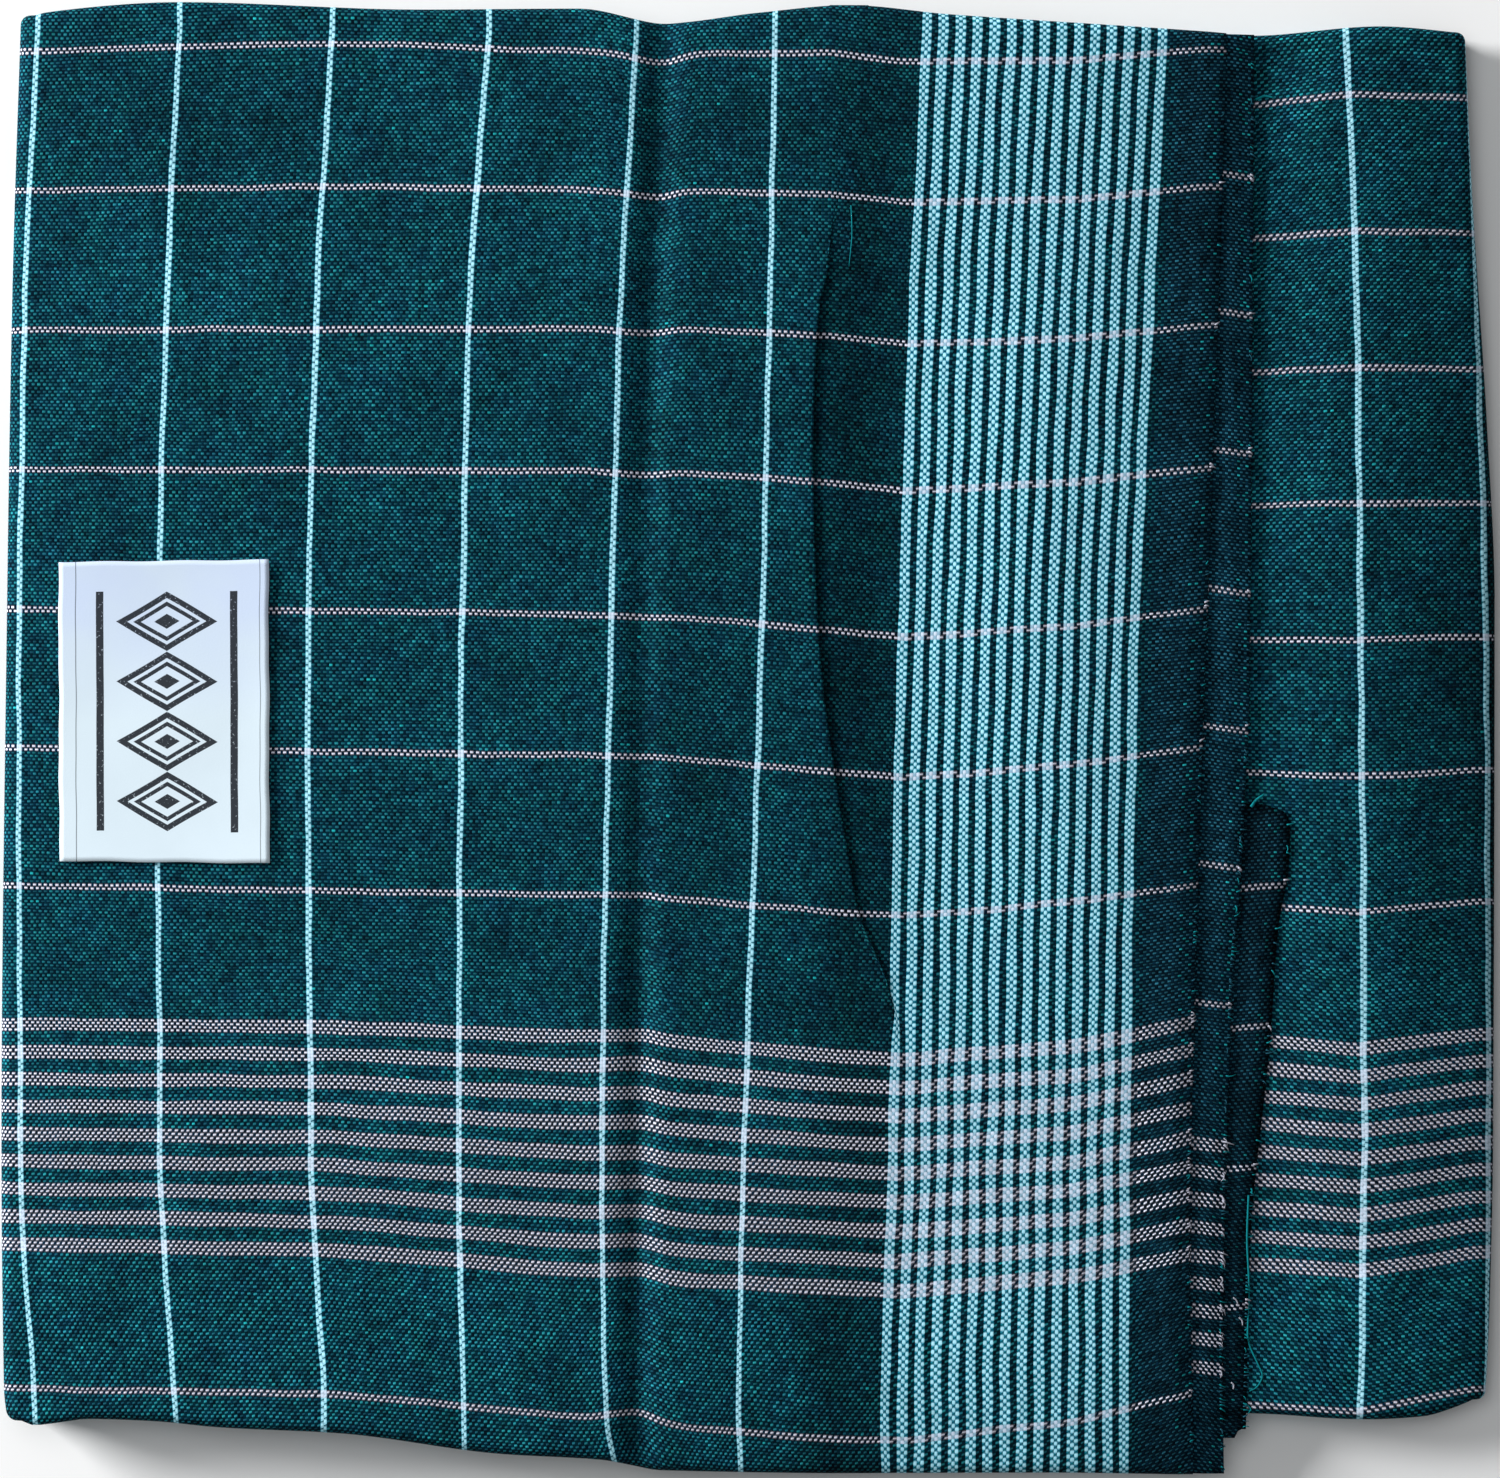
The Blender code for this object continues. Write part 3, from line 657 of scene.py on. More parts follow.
    # Unevenness, less of it on the light threads, and the painted light and shade that the sheet carries with it.
    tone = g.mix(warp_on_top, weft_tone, warp_tone)
    uneven = tone.spread(0.35, 1.65) * cell.spread(0.5, 1.5) * (mottle.spread(0.3, 1.7) * patch.spread(0.35, 1.65))
    uneven = uneven * near_heading.fit(-0.42, 1.0) * slub.fit(0.25, 1.0)
    light = light_weft.at_least(light_warp * warp_on_top)
    shade = shade * g.mix(light, uneven, tone.spread(0.75, 1.25) * mottle.spread(0.75, 1.25))
    # Painted light and shade from the tone map, weaker on the light threads.
    shade = shade * ink_wear_and_painted_shade.fit(light.fit(-0.45, 1.0), 1.0)
    g.bump(height, 0.5, 0.10)
    shaded = g.node("ShaderNodeVectorMath", ((0, colour), ("Scale", shade)), operation="SCALE")
    return g.surface(shaded, 0.85, 0.03)


def thread_material(name, colour):
    """Loose cotton thread, uneven along its length"""
    g = Graph(name)
    tone = g.noise(g.place(), 900.0, 2.0).fit(1.2, -0.1, clamp=True)
    return g.surface(g.mix(tone, times(colour, 0.45), tuple(colour)), 0.85, 0.08)


def paper_material(name, label):
    """Smooth white paper with two ruled lines, and a column of plain diamonds between two bars"""
    g = Graph(name)
    across, up = g.map("paper")

    def stroke(distance, half_width):
        return (half_width - distance).fit(14.0, 0.5, clamp=True)

    ruled = stroke(abs(across + 17.6), 0.10).at_least(stroke(abs(across - 19.2), 0.08))
    off = abs(across - 0.6)
    reach = off / 1.7 + abs((up + 36.0) % 12.0 - 6.0)
    ornament = stroke(abs(off - 13.4), 0.75)
    for size, half_width in ((5.3, 0.65), (3.5, 0.45), (0.0, 1.5)):
        ornament = ornament.at_least(stroke(abs(reach - size), half_width))
    ink_wear_and_painted_shade = g.noise((across, up), 1.9).fit(-14.0, 9.6, clamp=True).spread(0.55, 0.98)
    ink = (ornament * (abs(up) < 24.0) * ink_wear_and_painted_shade).at_least(ruled * 0.7)
    stain = g.noise((across, up), 0.06).fit(2.0, -0.75, clamp=True)
    fibre = g.noise((across * 3.0, up * 3.0))
    # Painted shade: the upper part of the label takes a bluer, darker tint.
    paper = g.mix(up.fit(0.05, 0.1, clamp=True), label.paper, label.paper_top_painted_shade)
    paper = g.mix(stain, paper, times(label.paper, 0.93))
    paper = g.mix(fibre * 0.06, paper, (0.35, 0.45, 0.55))
    g.bump(fibre, 0.3, 0.05)
    return g.surface(g.mix(ink, paper, label.ink), 0.55, 0.2)


def cloth_material(context):
    """The one weave, made when it is first asked for"""
    return (bpy.data.materials.get("checked_weave")
            or weave_material("checked_weave", context.scene.longyi_cloth))


def flap_grid():
    """Points and thread numbers of the flap, from round the left fold to its cut end"""
    share, edge_angle = edge_rows(164)
    past_edge = over_edges(share, edge_angle)
    start = beside(LEFT_FOLD, LEFT_TURN)
    points, threads = [], []

    def place(line):
        return settle(line, FLAP_FRONT, FLAP_BACK, share, edge_angle)

    def add(x, y, z, weft, angle=0.0):
        points.append(turned_point(x, y, z, angle, -1, LEFT_TURN, edge_angle))
        threads.append(np.stack((weft, warp_number(x, y + crease_kink(x, y)) + past_edge), axis=-1))

    def add_faces(lines, past_tuck):
        for line in lines:
            x, y = place(line)
            top = plain_height(x, y) - tuck_drop(x, y) * past_tuck
            add(x, y, top - flap_droop(x, y), weft_number(x, y, past_tuck))

    x, y = place(start)
    for step in range(FOLD_STEPS):
        angle = math.radians(FOLD_ANGLE) * (1 - step / FOLD_STEPS)
        add(x, y, plain_height(x, y), weft_number(x, y, 0.0) - LEFT_TURN * angle / WEFT_PITCH, angle)
    left_of_crease, right_of_crease = beside(CREASE_LINE, -9.0), beside(CREASE_LINE, 7.0)
    tuck_start, tuck_stop = beside(TUCK_LINE, -PLEAT_HALF), beside(TUCK_LINE, PLEAT_HALF)
    add_faces([start] + between(start, left_of_crease, 58) + between(left_of_crease, right_of_crease, 24)
              + between(right_of_crease, tuck_start, 13), 0.0)

    at_line, y = place(beside(TUCK_LINE, 0.0))
    low = weft_number(at_line - PLEAT_HALF, y, 0.0)
    high = weft_number(at_line + PLEAT_HALF, y, 1.0)
    fold, drop = tuck_fold(y), along(TUCK_SHARE, y)
    shares, *section = np.array(PLEAT, dtype=float).T
    runs = np.concatenate(([0.0], np.cumsum(np.linalg.norm(np.diff(section, axis=1), axis=0))))
    for step in range(1, TUCK_STEPS):
        across = step / TUCK_STEPS
        run, fold_x, fold_z = [along(np.column_stack((shares, values)), across) for values in (runs, *section)]
        flat_x = -PLEAT_HALF + 2 * PLEAT_HALF * across
        x = at_line + flat_x + fold * (fold_x - flat_x)
        soft_z = PLEAT[-1][2] * ease((across - 0.2) / 0.6)
        way = across + fold * (run / runs[-1] - across)
        add(x, y, plain_height(x, y) + drop * (soft_z + fold * (fold_z - soft_z)), low + way * (high - low))
    add_faces([tuck_stop] + between(tuck_stop, beside(FLAP_END, 0.0), 54), 1.0)
    return np.array(points), np.array(threads)


def panel_grid():
    """Points and thread numbers of the under panel, to round the right fold"""
    share, edge_angle = edge_rows(150)
    first, start = upright(HIDDEN_START), beside(RIGHT_FOLD, -RIGHT_TURN)
    points, threads = [], []
    for k, line in enumerate([first] + between(first, start, PANEL_STEPS) + [start] * FOLD_STEPS):
        angle = math.radians(FOLD_ANGLE) * max(0, k - PANEL_STEPS) / FOLD_STEPS
        x, y = settle(line, PANEL_FRONT, PANEL_BACK, share, edge_angle)
        top = plain_height(x, y) - 3 * LAYER
        points.append(turned_point(x, y, top, angle, 1, RIGHT_TURN, edge_angle))
        from_stripe = x - along(PANEL_STRIPE, y) + RIGHT_TURN * angle
        pitch = (along(PANEL_NEXT_STRIPE, y) - along(PANEL_STRIPE, y)) / PANEL_SPACING
        warp = warp_number(x, y, PANEL_CHART, PANEL_DROP, PANEL_DROP_AT) + over_edges(share, edge_angle)
        threads.append(np.stack((1.0 - PANEL_SPACING + from_stripe / pitch, warp), axis=-1))
    return np.array(points), np.array(threads)


def third_shows(y):
    """1 where the third layer reaches past the second one's cut end, and 0 elsewhere"""
    return ease((-10.0 - y) / 4.0)


def layer_height(x, y, drop):
    """Height of the face of a sheet that lies a drop under the flap"""
    return plain_height(x, y) - tuck_drop(x, y) - drop


def end_droop(x, y, end, most, run):
    """How far a cut end hangs down to the layer under it"""
    return most * ease((x - along(end, y) + run) / run) ** 2


def flap_droop(x, y):
    return end_droop(x, y, FLAP_END, 0.75, 5.0)


def second_droop(x, y):
    shows = third_shows(y)
    return end_droop(x, y, SECOND_END, 0.75, 4.0) * shows + end_droop(x, y, SECOND_END, 1.3, 7.0) * (1 - shows)


def third_droop(x, y):
    return end_droop(x, y, THIRD_END, 0.8, 4.0)


def surface_height(x, y):
    """Height of the uppermost sheet over a point of the plan"""
    x, y = np.asarray(x, dtype=float), np.asarray(y, dtype=float)
    height = layer_height(x, y, 3 * LAYER)
    third = layer_height(x, y, 2 * LAYER) - third_droop(x, y)
    height = np.where((x < along(THIRD_END, y)) & (y > THIRD_FRONT), third, height)
    second = layer_height(x, y, LAYER) - second_droop(x, y)
    height = np.where(x < along(SECOND_END, y), second, height)
    first = layer_height(x, y, 0.0) - flap_droop(x, y)
    return np.where(x < along(FLAP_END, y), first, height)


def end_warp(chart, drop):
    """Warp thread at points of a deeper layer's end, whose lines drop or rise evenly to the right"""
    return lambda x, y: beyond(chart, y + drop * (x - ENDS_LEVEL))


def layer_grid(end, depth, droop, front, back, number_at, straight):
    """Points and thread numbers of a deeper layer's flat end, whose weft is straight past a place on it"""
    share = np.linspace(0.0, 1.0, 220)
    points, threads = [], []
    first = upright(ENDS_START)
    for line in [first] + between(first, beside(end, 0.0), 26):
        y = np.zeros_like(share)
        for _ in range(8):
            x = line(y)
            y = front(x) + share * (back(x) - front(x))
        points.append(np.stack((x, y, layer_height(x, y, depth) - droop(x, y)), axis=-1))
        weft = END_THREAD - (along(end, np.minimum(y, straight)) - x) / WEFT_PITCH
        threads.append(np.stack((weft, number_at(x, y)), axis=-1))
    return np.array(points), np.array(threads)


def arc_profile(turn, foot, angles):
    """Round top of the hidden layers' side, a layer inside the sheet that turns over it"""
    core = turn - LAYER
    return [(turn - core * math.sin(math.radians(angle)), foot + core * math.cos(math.radians(angle)))
            for angle in angles]


def fold_profile(face, turn):
    """Side of the hidden layers inside a fold, as (inset, height) down to the first ridge"""
    under = face - 2 * turn
    groove = [(turn + 0.3, under + 0.6), (turn + 0.3, under), (turn - 0.3, under - 0.45)]
    return arc_profile(turn, face - turn, (45.0, 90.0, 125.0, 160.0)) + groove


def edge_profile(foot, reach, ply):
    """Side of the hidden layers at the front or back edge, from the foot of the sheet that turns over it"""
    start = foot - 0.3
    out = PLY_INSET * ply + 1.5 * (1 - ply)
    thick = 1.6 * ply + 0.3 * (1 - ply)
    lips = [(out + 0.5 * ply, start - 0.1 * thick), (out, start - 0.5 * thick), (out + 0.6 * ply, start - thick)]
    return arc_profile(EDGE_TURN, foot, (45.0, 90.0)) + [(LAYER, start)] + lips + [(1.5 + reach, start - thick - 0.1)]


def ridge_inset(share, ridges, place):
    """Inset of the plies' edges at a share of the way down: fat folds, each of two thinner ones"""
    wave = share + 0.012 * math.sin(place * 0.031 + 5.0 * share) + 0.008 * math.sin(place * 0.083)
    fat = 1 - abs(math.sin(math.pi * ridges * wave)) ** 0.8
    thin = max(0.0, 1 - abs((ridges * wave) % 1.0 - 0.5) / 0.09)
    loose = 0.14 * math.sin(place * 0.047 + 9.0 * math.floor(ridges * wave)) + 0.14
    return PLY_INSET + RIDGE_DEPTH * fat + 0.22 * thin + loose


def corner_centre(fold_side, edge_side, edge):
    """Middle of the round corner between a fold and an edge"""
    fold = LEFT_FOLD if fold_side < 0 else RIGHT_FOLD
    x = fold_side * 143.0
    for _ in range(4):
        y = float(along(edge, x)) - edge_side * CORNER
        x = float(along(fold, y)) - fold_side * CORNER
    return x, y


def edge_lines(fold_side, edge_side):
    """Upper and lower outline of the front or back, at its left or right end"""
    flap, panel = (FLAP_FRONT, PANEL_FRONT) if edge_side < 0 else (FLAP_BACK, PANEL_BACK)
    return (flap if fold_side < 0 else panel), panel


def outline_stations():
    """Places round the hidden layers, as (fold side, edge side, place along the side, angle of a corner)"""
    corner = [math.radians(90.0 * (k + 1) / 13) for k in range(12)]
    stations = []
    for edge_side in (-1, 1):
        ends = [corner_centre(side, edge_side, edge_lines(side, edge_side)[1])[0] for side in (-1, 1)]
        xs = np.linspace(*ends[::-edge_side], 250)
        stations += [(0, edge_side, x, 0.0) for x in xs]
        rising, falling = corner, [math.pi / 2 - angle for angle in corner]
        stations += [(-edge_side, edge_side, 0.0, angle) for angle in falling]
        ys = np.linspace(0.0, 1.0, 200)[::-edge_side]
        stations += [(-edge_side, 0, y, 0.0) for y in ys]
        stations += [(-edge_side, -edge_side, 0.0, angle) for angle in rising]
    return stations


def station_line(station):
    """Side of the hidden layers at one station: its points from the top down, and their thread numbers"""
    fold_side, edge_side, place, angle = station
    fold = LEFT_FOLD if fold_side < 0 else RIGHT_FOLD
    turn = LEFT_TURN if fold_side < 0 else RIGHT_TURN
    over_flap = fold_side < 0 or (not fold_side and place < FLAP_COVERS)
    if not fold_side:
        top_x = low_x = place
        top_y, low_y = [float(along(line, place)) for line in edge_lines(-1 if over_flap else 1, edge_side)]
        out = np.array((0.0, edge_side))
    elif edge_side:
        out = np.array((fold_side * math.cos(angle), edge_side * math.sin(angle)))
        upper, lower = [corner_centre(fold_side, edge_side, line) for line in edge_lines(fold_side, edge_side)]
        top_x, top_y, low_x, low_y = (*(upper + CORNER * out), *(lower + CORNER * out))
    else:
        out = np.array((float(fold_side), 0.0))
        ends = [[corner_centre(fold_side, side, edge_lines(fold_side, side)[k])[1] for side in (-1, 1)] for k in (0, 1)]
        top_y, low_y = [low + place * (high - low) for low, high in ends]
        top_x, low_x = float(along(fold, top_y)), float(along(fold, low_y))
    share = math.sin(angle) ** 2 if fold_side and edge_side else float(not fold_side)
    drop = 0.0 if over_flap else 3 * LAYER
    inner_x, inner_y = top_x - out[0] * turn, top_y - out[1] * EDGE_TURN
    face = float(plain_height(inner_x, inner_y)) - drop
    edge = edge_profile(face - EDGE_TURN, abs(top_y - low_y), float(over_flap and not fold_side))
    profile = [(a + share * (c - a), b + share * (d - b)) for (a, b), (c, d) in zip(fold_profile(face, turn), edge)]
    points = [(top_x - out[0] * inset, top_y - out[1] * inset, z) for inset, z in profile]
    crown = profile[-1][1] - 0.1
    run = place if not fold_side else low_y
    ridges = LEFT_RIDGES if fold_side < 0 else RIGHT_RIDGES
    for step in range(51):
        down = step / 50
        inset = (1 - share) * ridge_inset(down, ridges, run) + share * ridge_inset(down, EDGE_RIDGES, run)
        bottom = 0.9 * ease((down - 0.93) / 0.07) ** 2
        points.append((low_x - out[0] * (inset + bottom), low_y - out[1] * (inset + bottom), crown * (1 - down)))
    points = np.array(points)
    paths = np.concatenate(([0.0], np.cumsum(np.linalg.norm(np.diff(points, axis=0), axis=1))))
    plies = EDGE_RIDGES if share > 0.5 else 2 * ridges
    ply = np.array([math.floor(max(0, k - 7) / 50 * plies) for k in range(len(points))])
    weft = points[:, 0] / WEFT_PITCH + out[0] * paths / WEFT_PITCH + 200.0 - 13.0 * ply
    warp = 236.0 - points[:, 1] / WARP_PITCH - out[1] * paths / WARP_PITCH + 9.0 * ply
    return points, np.stack((weft, warp), axis=-1)


def hidden_mesh(name):
    """Closed mesh of the hidden layers: sides loosely layered, and caps drawn in to the middle"""
    lines = [station_line(station) for station in outline_stations()]
    sides = np.array([line[0] for line in lines])
    threads = np.array([line[1] for line in lines])
    shares = np.linspace(1.0, 0.0, 12)[1:-1]
    top, bottom = [], []
    for share in shares:
        spot = sides[:, 0, :2] * share
        under = np.where(spot[:, 0] < FLAP_COVERS, LAYER, 4 * LAYER)
        z = plain_height(spot[:, 0], spot[:, 1]) - tuck_drop(spot[:, 0], spot[:, 1]) - under
        top.append(np.column_stack((spot, z - 1.5)))
        bottom.append(np.column_stack((sides[:, -1, :2] * share, np.zeros(len(sides)))))
    rings = np.concatenate((np.array(top[::-1]), sides.transpose(1, 0, 2), np.array(bottom)))
    flat = np.stack((rings[..., 0] / WEFT_PITCH + 200.0, 236.0 - rings[..., 1] / WARP_PITCH), axis=-1)
    first = len(top)
    flat[first:first + sides.shape[1]] = threads.transpose(1, 0, 2)
    rows, columns = rings.shape[:2]
    index = np.arange(rows * columns).reshape(rows, columns)
    turned = np.roll(index, -1, axis=1)
    faces = np.stack((index[:-1], index[1:], turned[1:], turned[:-1]), axis=-1).reshape(-1, 4).tolist()
    points = rings.reshape(-1, 3).tolist() + [[0.0, 0.0, float(plain_height(0.0, 0.0)) - LAYER - 1.5], [0.0, 0.0, 0.0]]
    numbers = flat.reshape(-1, 2).tolist() + [[200.0, 236.0], [200.0, 236.0]]
    middle_top, middle_bottom = rows * columns, rows * columns + 1
    faces += [[index[0, k], turned[0, k], middle_top] for k in range(columns)]
    faces += [[turned[-1, k], index[-1, k], middle_bottom] for k in range(columns)]
    mesh = bpy.data.meshes.new(name)
    mesh.from_pydata((np.array(points) * MM).tolist(), [], faces)
    add_map(mesh, "threads", np.array(numbers), np.array([corner for face in faces for corner in face]))
    return mesh


class Threads:
    """Loose threads, gathered into one mesh of thin tubes"""

    SIDES = 5

    def __init__(self, seed):
        self.draw = random.Random(seed)
        self.points, self.faces, self.kinds = [], [], []

    def add(self, path, radius, kind):
        """A thread along a path, thinner at its far tip"""
        path = np.array(path, dtype=float)
        ahead = np.gradient(path, axis=0)
        ahead /= np.linalg.norm(ahead, axis=1)[:, None]
        side = np.cross(ahead, (0.13, 0.09, 1.0))
        side /= np.linalg.norm(side, axis=1)[:, None]
        up = np.cross(side, ahead)
        start = len(self.points)
        for k, centre in enumerate(path):
            thick = radius * (1 - 0.45 * (k / (len(path) - 1)) ** 2)
            for corner in range(self.SIDES):
                turn = math.tau * corner / self.SIDES
                self.points.append(centre + thick * (side[k] * math.cos(turn) + up[k] * math.sin(turn)))
        for k in range(len(path) - 1):
            for corner in range(self.SIDES):
                one, two = start + k * self.SIDES, start + (k + 1) * self.SIDES
                ahead_corner = (corner + 1) % self.SIDES
                self.faces.append((one + corner, one + ahead_corner, two + ahead_corner, two + corner))
                self.kinds.append(kind)
        last = start + (len(path) - 1) * self.SIDES
        self.faces.append(tuple(start + corner for corner in reversed(range(self.SIDES))))
        self.faces.append(tuple(last + corner for corner in range(self.SIDES)))
        self.kinds += [kind, kind]

    def lay(self, spots, radius, kind, lift=0.12, steps=6):
        """A thread that lies on the cloth through a few spots of the plan"""
        spots = np.array(spots, dtype=float)
        marks = np.arange(len(spots), dtype=float)
        fine = np.linspace(0.0, marks[-1], steps * (len(spots) - 1) + 1)
        x = along(np.column_stack((marks, spots[:, 0])), fine)
        y = along(np.column_stack((marks, spots[:, 1])), fine)
        z = surface_height(x, y) + lift + radius * 0.5
        self.add(np.column_stack((x, y, z)), radius, kind)

    def piece(self, name, materials):
        mesh = bpy.data.meshes.new(name)
        mesh.from_pydata((np.array(self.points) * MM).tolist(), [], self.faces)
        piece = finish_piece(mesh, materials[0])
        for material in materials[1:]:
            mesh.materials.append(material)
        mesh.polygons.foreach_set("material_index", self.kinds)
        return piece


DARK, TEAL, LIGHT = 0, 1, 2

# Loose threads, as (radius, kind, height over the cloth, places that they pass).
LOOSE = ((0.11, TEAL, 0.12, ((20.3, 106.9), (20.5, 101.7), (19.9, 94.7))),
         (0.20, TEAL, 0.12, ((100.1, -91.3), (99.8, -100.0), (100.2, -110.0), (99.9, -119.3), (101.7, -124.5),
                             (102.9, -127.5), (101.7, -129.9), (100.3, -130.7))),
         (0.34, TEAL, 0.50, ((100.5, -13.4), (101.8, -11.9), (103.2, -10.9))),
         (0.28, TEAL, 0.12, ((101.5, 128.5), (103.4, 129.2), (105.1, 128.9))),
         (0.16, TEAL, 0.12, ((99.6, -133.2), (100.6, -134.3), (100.0, -135.2))),
         (0.17, LIGHT, 0.12, ((97.0, -111.8), (97.6, -112.3), (97.9, -113.0))),
         (0.17, LIGHT, 0.12, ((98.2, -115.8), (98.8, -116.5), (98.9, -117.4))),
         (0.17, LIGHT, 0.12, ((96.6, -128.8), (97.1, -129.4), (97.0, -130.2))))


def light_line(number):
    """Whether a warp thread belongs to a line or to the border"""
    whole = math.floor(number)
    within = [low <= whole < high for low, high in (LINES, BORDER, OUTER_LINE)]
    return within[0] and whole % 40 < 2 or within[1] and whole % 8 < 4 or within[2]


def thread_materials(context):
    """Finishes of the dark, teal and light threads"""
    cloth = context.scene.longyi_cloth
    colours = (("dark_thread", times(cloth.end_warp, 1.5)), ("teal_thread", times(cloth.warp_green, 2.6)),
               ("light_thread", cloth.warp_line))
    return [bpy.data.materials.get(name) or thread_material(name, colour) for name, colour in colours]


def fringe_piece(context, name, seed, end, number_at, low, high, thins_at, chance, length, light_length, slant):
    """Warp threads that stick out of a cut end, light and knotted together where the lines are"""
    threads = Threads(seed)
    draw = threads.draw
    y = low
    while y < high:
        x = float(along(end, y))
        number = float(number_at(x, y))
        light = light_line(number)
        y += WARP_PITCH
        if draw.random() > (0.6 if light else chance * (1 - 0.75 * float(ease((y - thins_at) / 30.0)))):
            continue
        knotted = light and number < BORDER[0]
        reach = (0.6 if knotted else light_length if light else length) * draw.uniform(0.3, 1.0)
        reach *= draw.uniform(1.0, 2.0) if draw.random() < 0.15 else 1.0
        turn = slant + draw.uniform(-0.6, 0.6) * (0.4 if light else 1.0) + (0.3 if draw.random() < 0.2 else 0.0)
        curl = draw.uniform(-0.8, 0.5) - (0.5 if light and slant < 0 and not knotted else 0.0)
        share = np.array((0.0, 0.3, 0.65, 1.0))
        spot_x = x - 0.6 + (reach + 0.6) * share * np.cos(turn + curl * share)
        spot_y = y + (reach + 0.6) * share * np.sin(turn + curl * share)
        rest = surface_height(spot_x, spot_y) + 0.12 - 0.1 * (share == 0)
        height = rest[0] + (rest - rest[0]) * share + 0.1 * np.sin(math.pi * share)
        kind = LIGHT if light else (TEAL if draw.random() < 0.45 else DARK)
        radius = draw.uniform(0.18, 0.24) if knotted else draw.uniform(0.10, 0.18)
        threads.add(np.column_stack((spot_x, spot_y, height)), radius, kind)
    return threads.piece(name, thread_materials(context))


def colour(name, description, default):
    """Colour that the user may change"""
    return FloatVectorProperty(name=name, description=description, subtype="COLOR", size=3, min=0, max=1,
                               default=default)


class LongyiCloth(PropertyGroup):
    warp_ground: colour("Warp ground", "Colour of the warp threads between the lines", (0.002, 0.066, 0.120))
    warp_green: colour("Green warp", "Greener colour of the warp threads in patches", (0.002, 0.112, 0.130))
    # The dash crown colour is a painted highlight.
    crown: colour("Dash crown", "Colour of the crowns of the warp threads", (0.10, 0.30, 0.31))
    end_warp: colour("End warp", "Colour of the warp threads past the heading", (0.014, 0.086, 0.128))
    end_weft: colour("End weft", "Colour of the weft threads past the heading", (0.001, 0.013, 0.028))
    weft_ground: colour("Weft ground", "Colour of the weft between the stripes", (0.0005, 0.015, 0.038))
    weft_stripe: colour("Weft stripe", "Colour of the light weft threads", (0.44, 0.84, 0.98))
    # The stripe edge colour is painted shade where the light weft dips.
    stripe_dip_painted_shade: colour("Stripe edge", "Colour of the light weft where it dips", (0.01, 0.26, 0.40))
    warp_line: colour("Warp line", "Colour of the light warp threads", (0.64, 0.65, 0.77))
    crossing: colour("Crossing", "Colour where a light warp and weft cross", (0.66, 0.76, 0.92))
    slub: colour("Slub", "Colour of the thick spots in the warp threads", (0.01, 0.26, 0.28))


class LongyiLabel(PropertyGroup):
    width: FloatProperty(name="Width", description="Width of the label", unit="LENGTH", min=0.01, default=0.042)
    height: FloatProperty(name="Height", description="Height of the label", unit="LENGTH", min=0.01, default=0.0602)
    paper: colour("Paper", "Colour of the label's paper", (0.70, 0.82, 0.90))
    # The paper tint is painted shade on the label's upper part.
    paper_top_painted_shade: colour("Paper tint", "Colour of the paper's upper part", (0.59, 0.69, 0.87))
    ink: colour("Ink", "Colour of the printed ornament", (0.010, 0.014, 0.022))


class LongyiStage(PropertyGroup):
    floor_colour: colour("Floor", "Colour of the floor", (0.93, 0.93, 0.93))
    key_power: FloatProperty(name="Key light", description="Power of the light from the left", unit="POWER",
                             min=0, default=126.0)
    sky: FloatProperty(name="Sky", description="Strength of the even light", min=0, default=0.22)
    camera_height: FloatProperty(name="Camera height", description="Height of the camera above the cloth",
                                 unit="LENGTH", min=0.2, default=1.5)


class LONGYI_OT_top_flap(Operator):
    """Uppermost layer of the folded cloth, with its tuck and crease"""
    bl_idname = "longyi.top_flap"
    bl_label = "Top flap"

    def execute(self, context):
        mesh = grid_mesh("top_flap_cloth", *flap_grid())
        piece = finish_piece(mesh, cloth_material(context), SHELL)
        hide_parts("top_flap")
        fringe = fringe_piece(context, "top_flap_fringe", 11, FLAP_END, warp_number, *FLAP_FRINGE)
        return {"FINISHED"}


class LONGYI_OT_under_panel(Operator):
    """Ply under the flap, round the right fold"""
    bl_idname = "longyi.under_panel"
    bl_label = "Under panel"

    def execute(self, context):
        mesh = grid_mesh("under_panel_cloth", *panel_grid())
        piece = finish_piece(mesh, cloth_material(context), SHELL)
        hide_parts("under_panel")
        return {"FINISHED"}


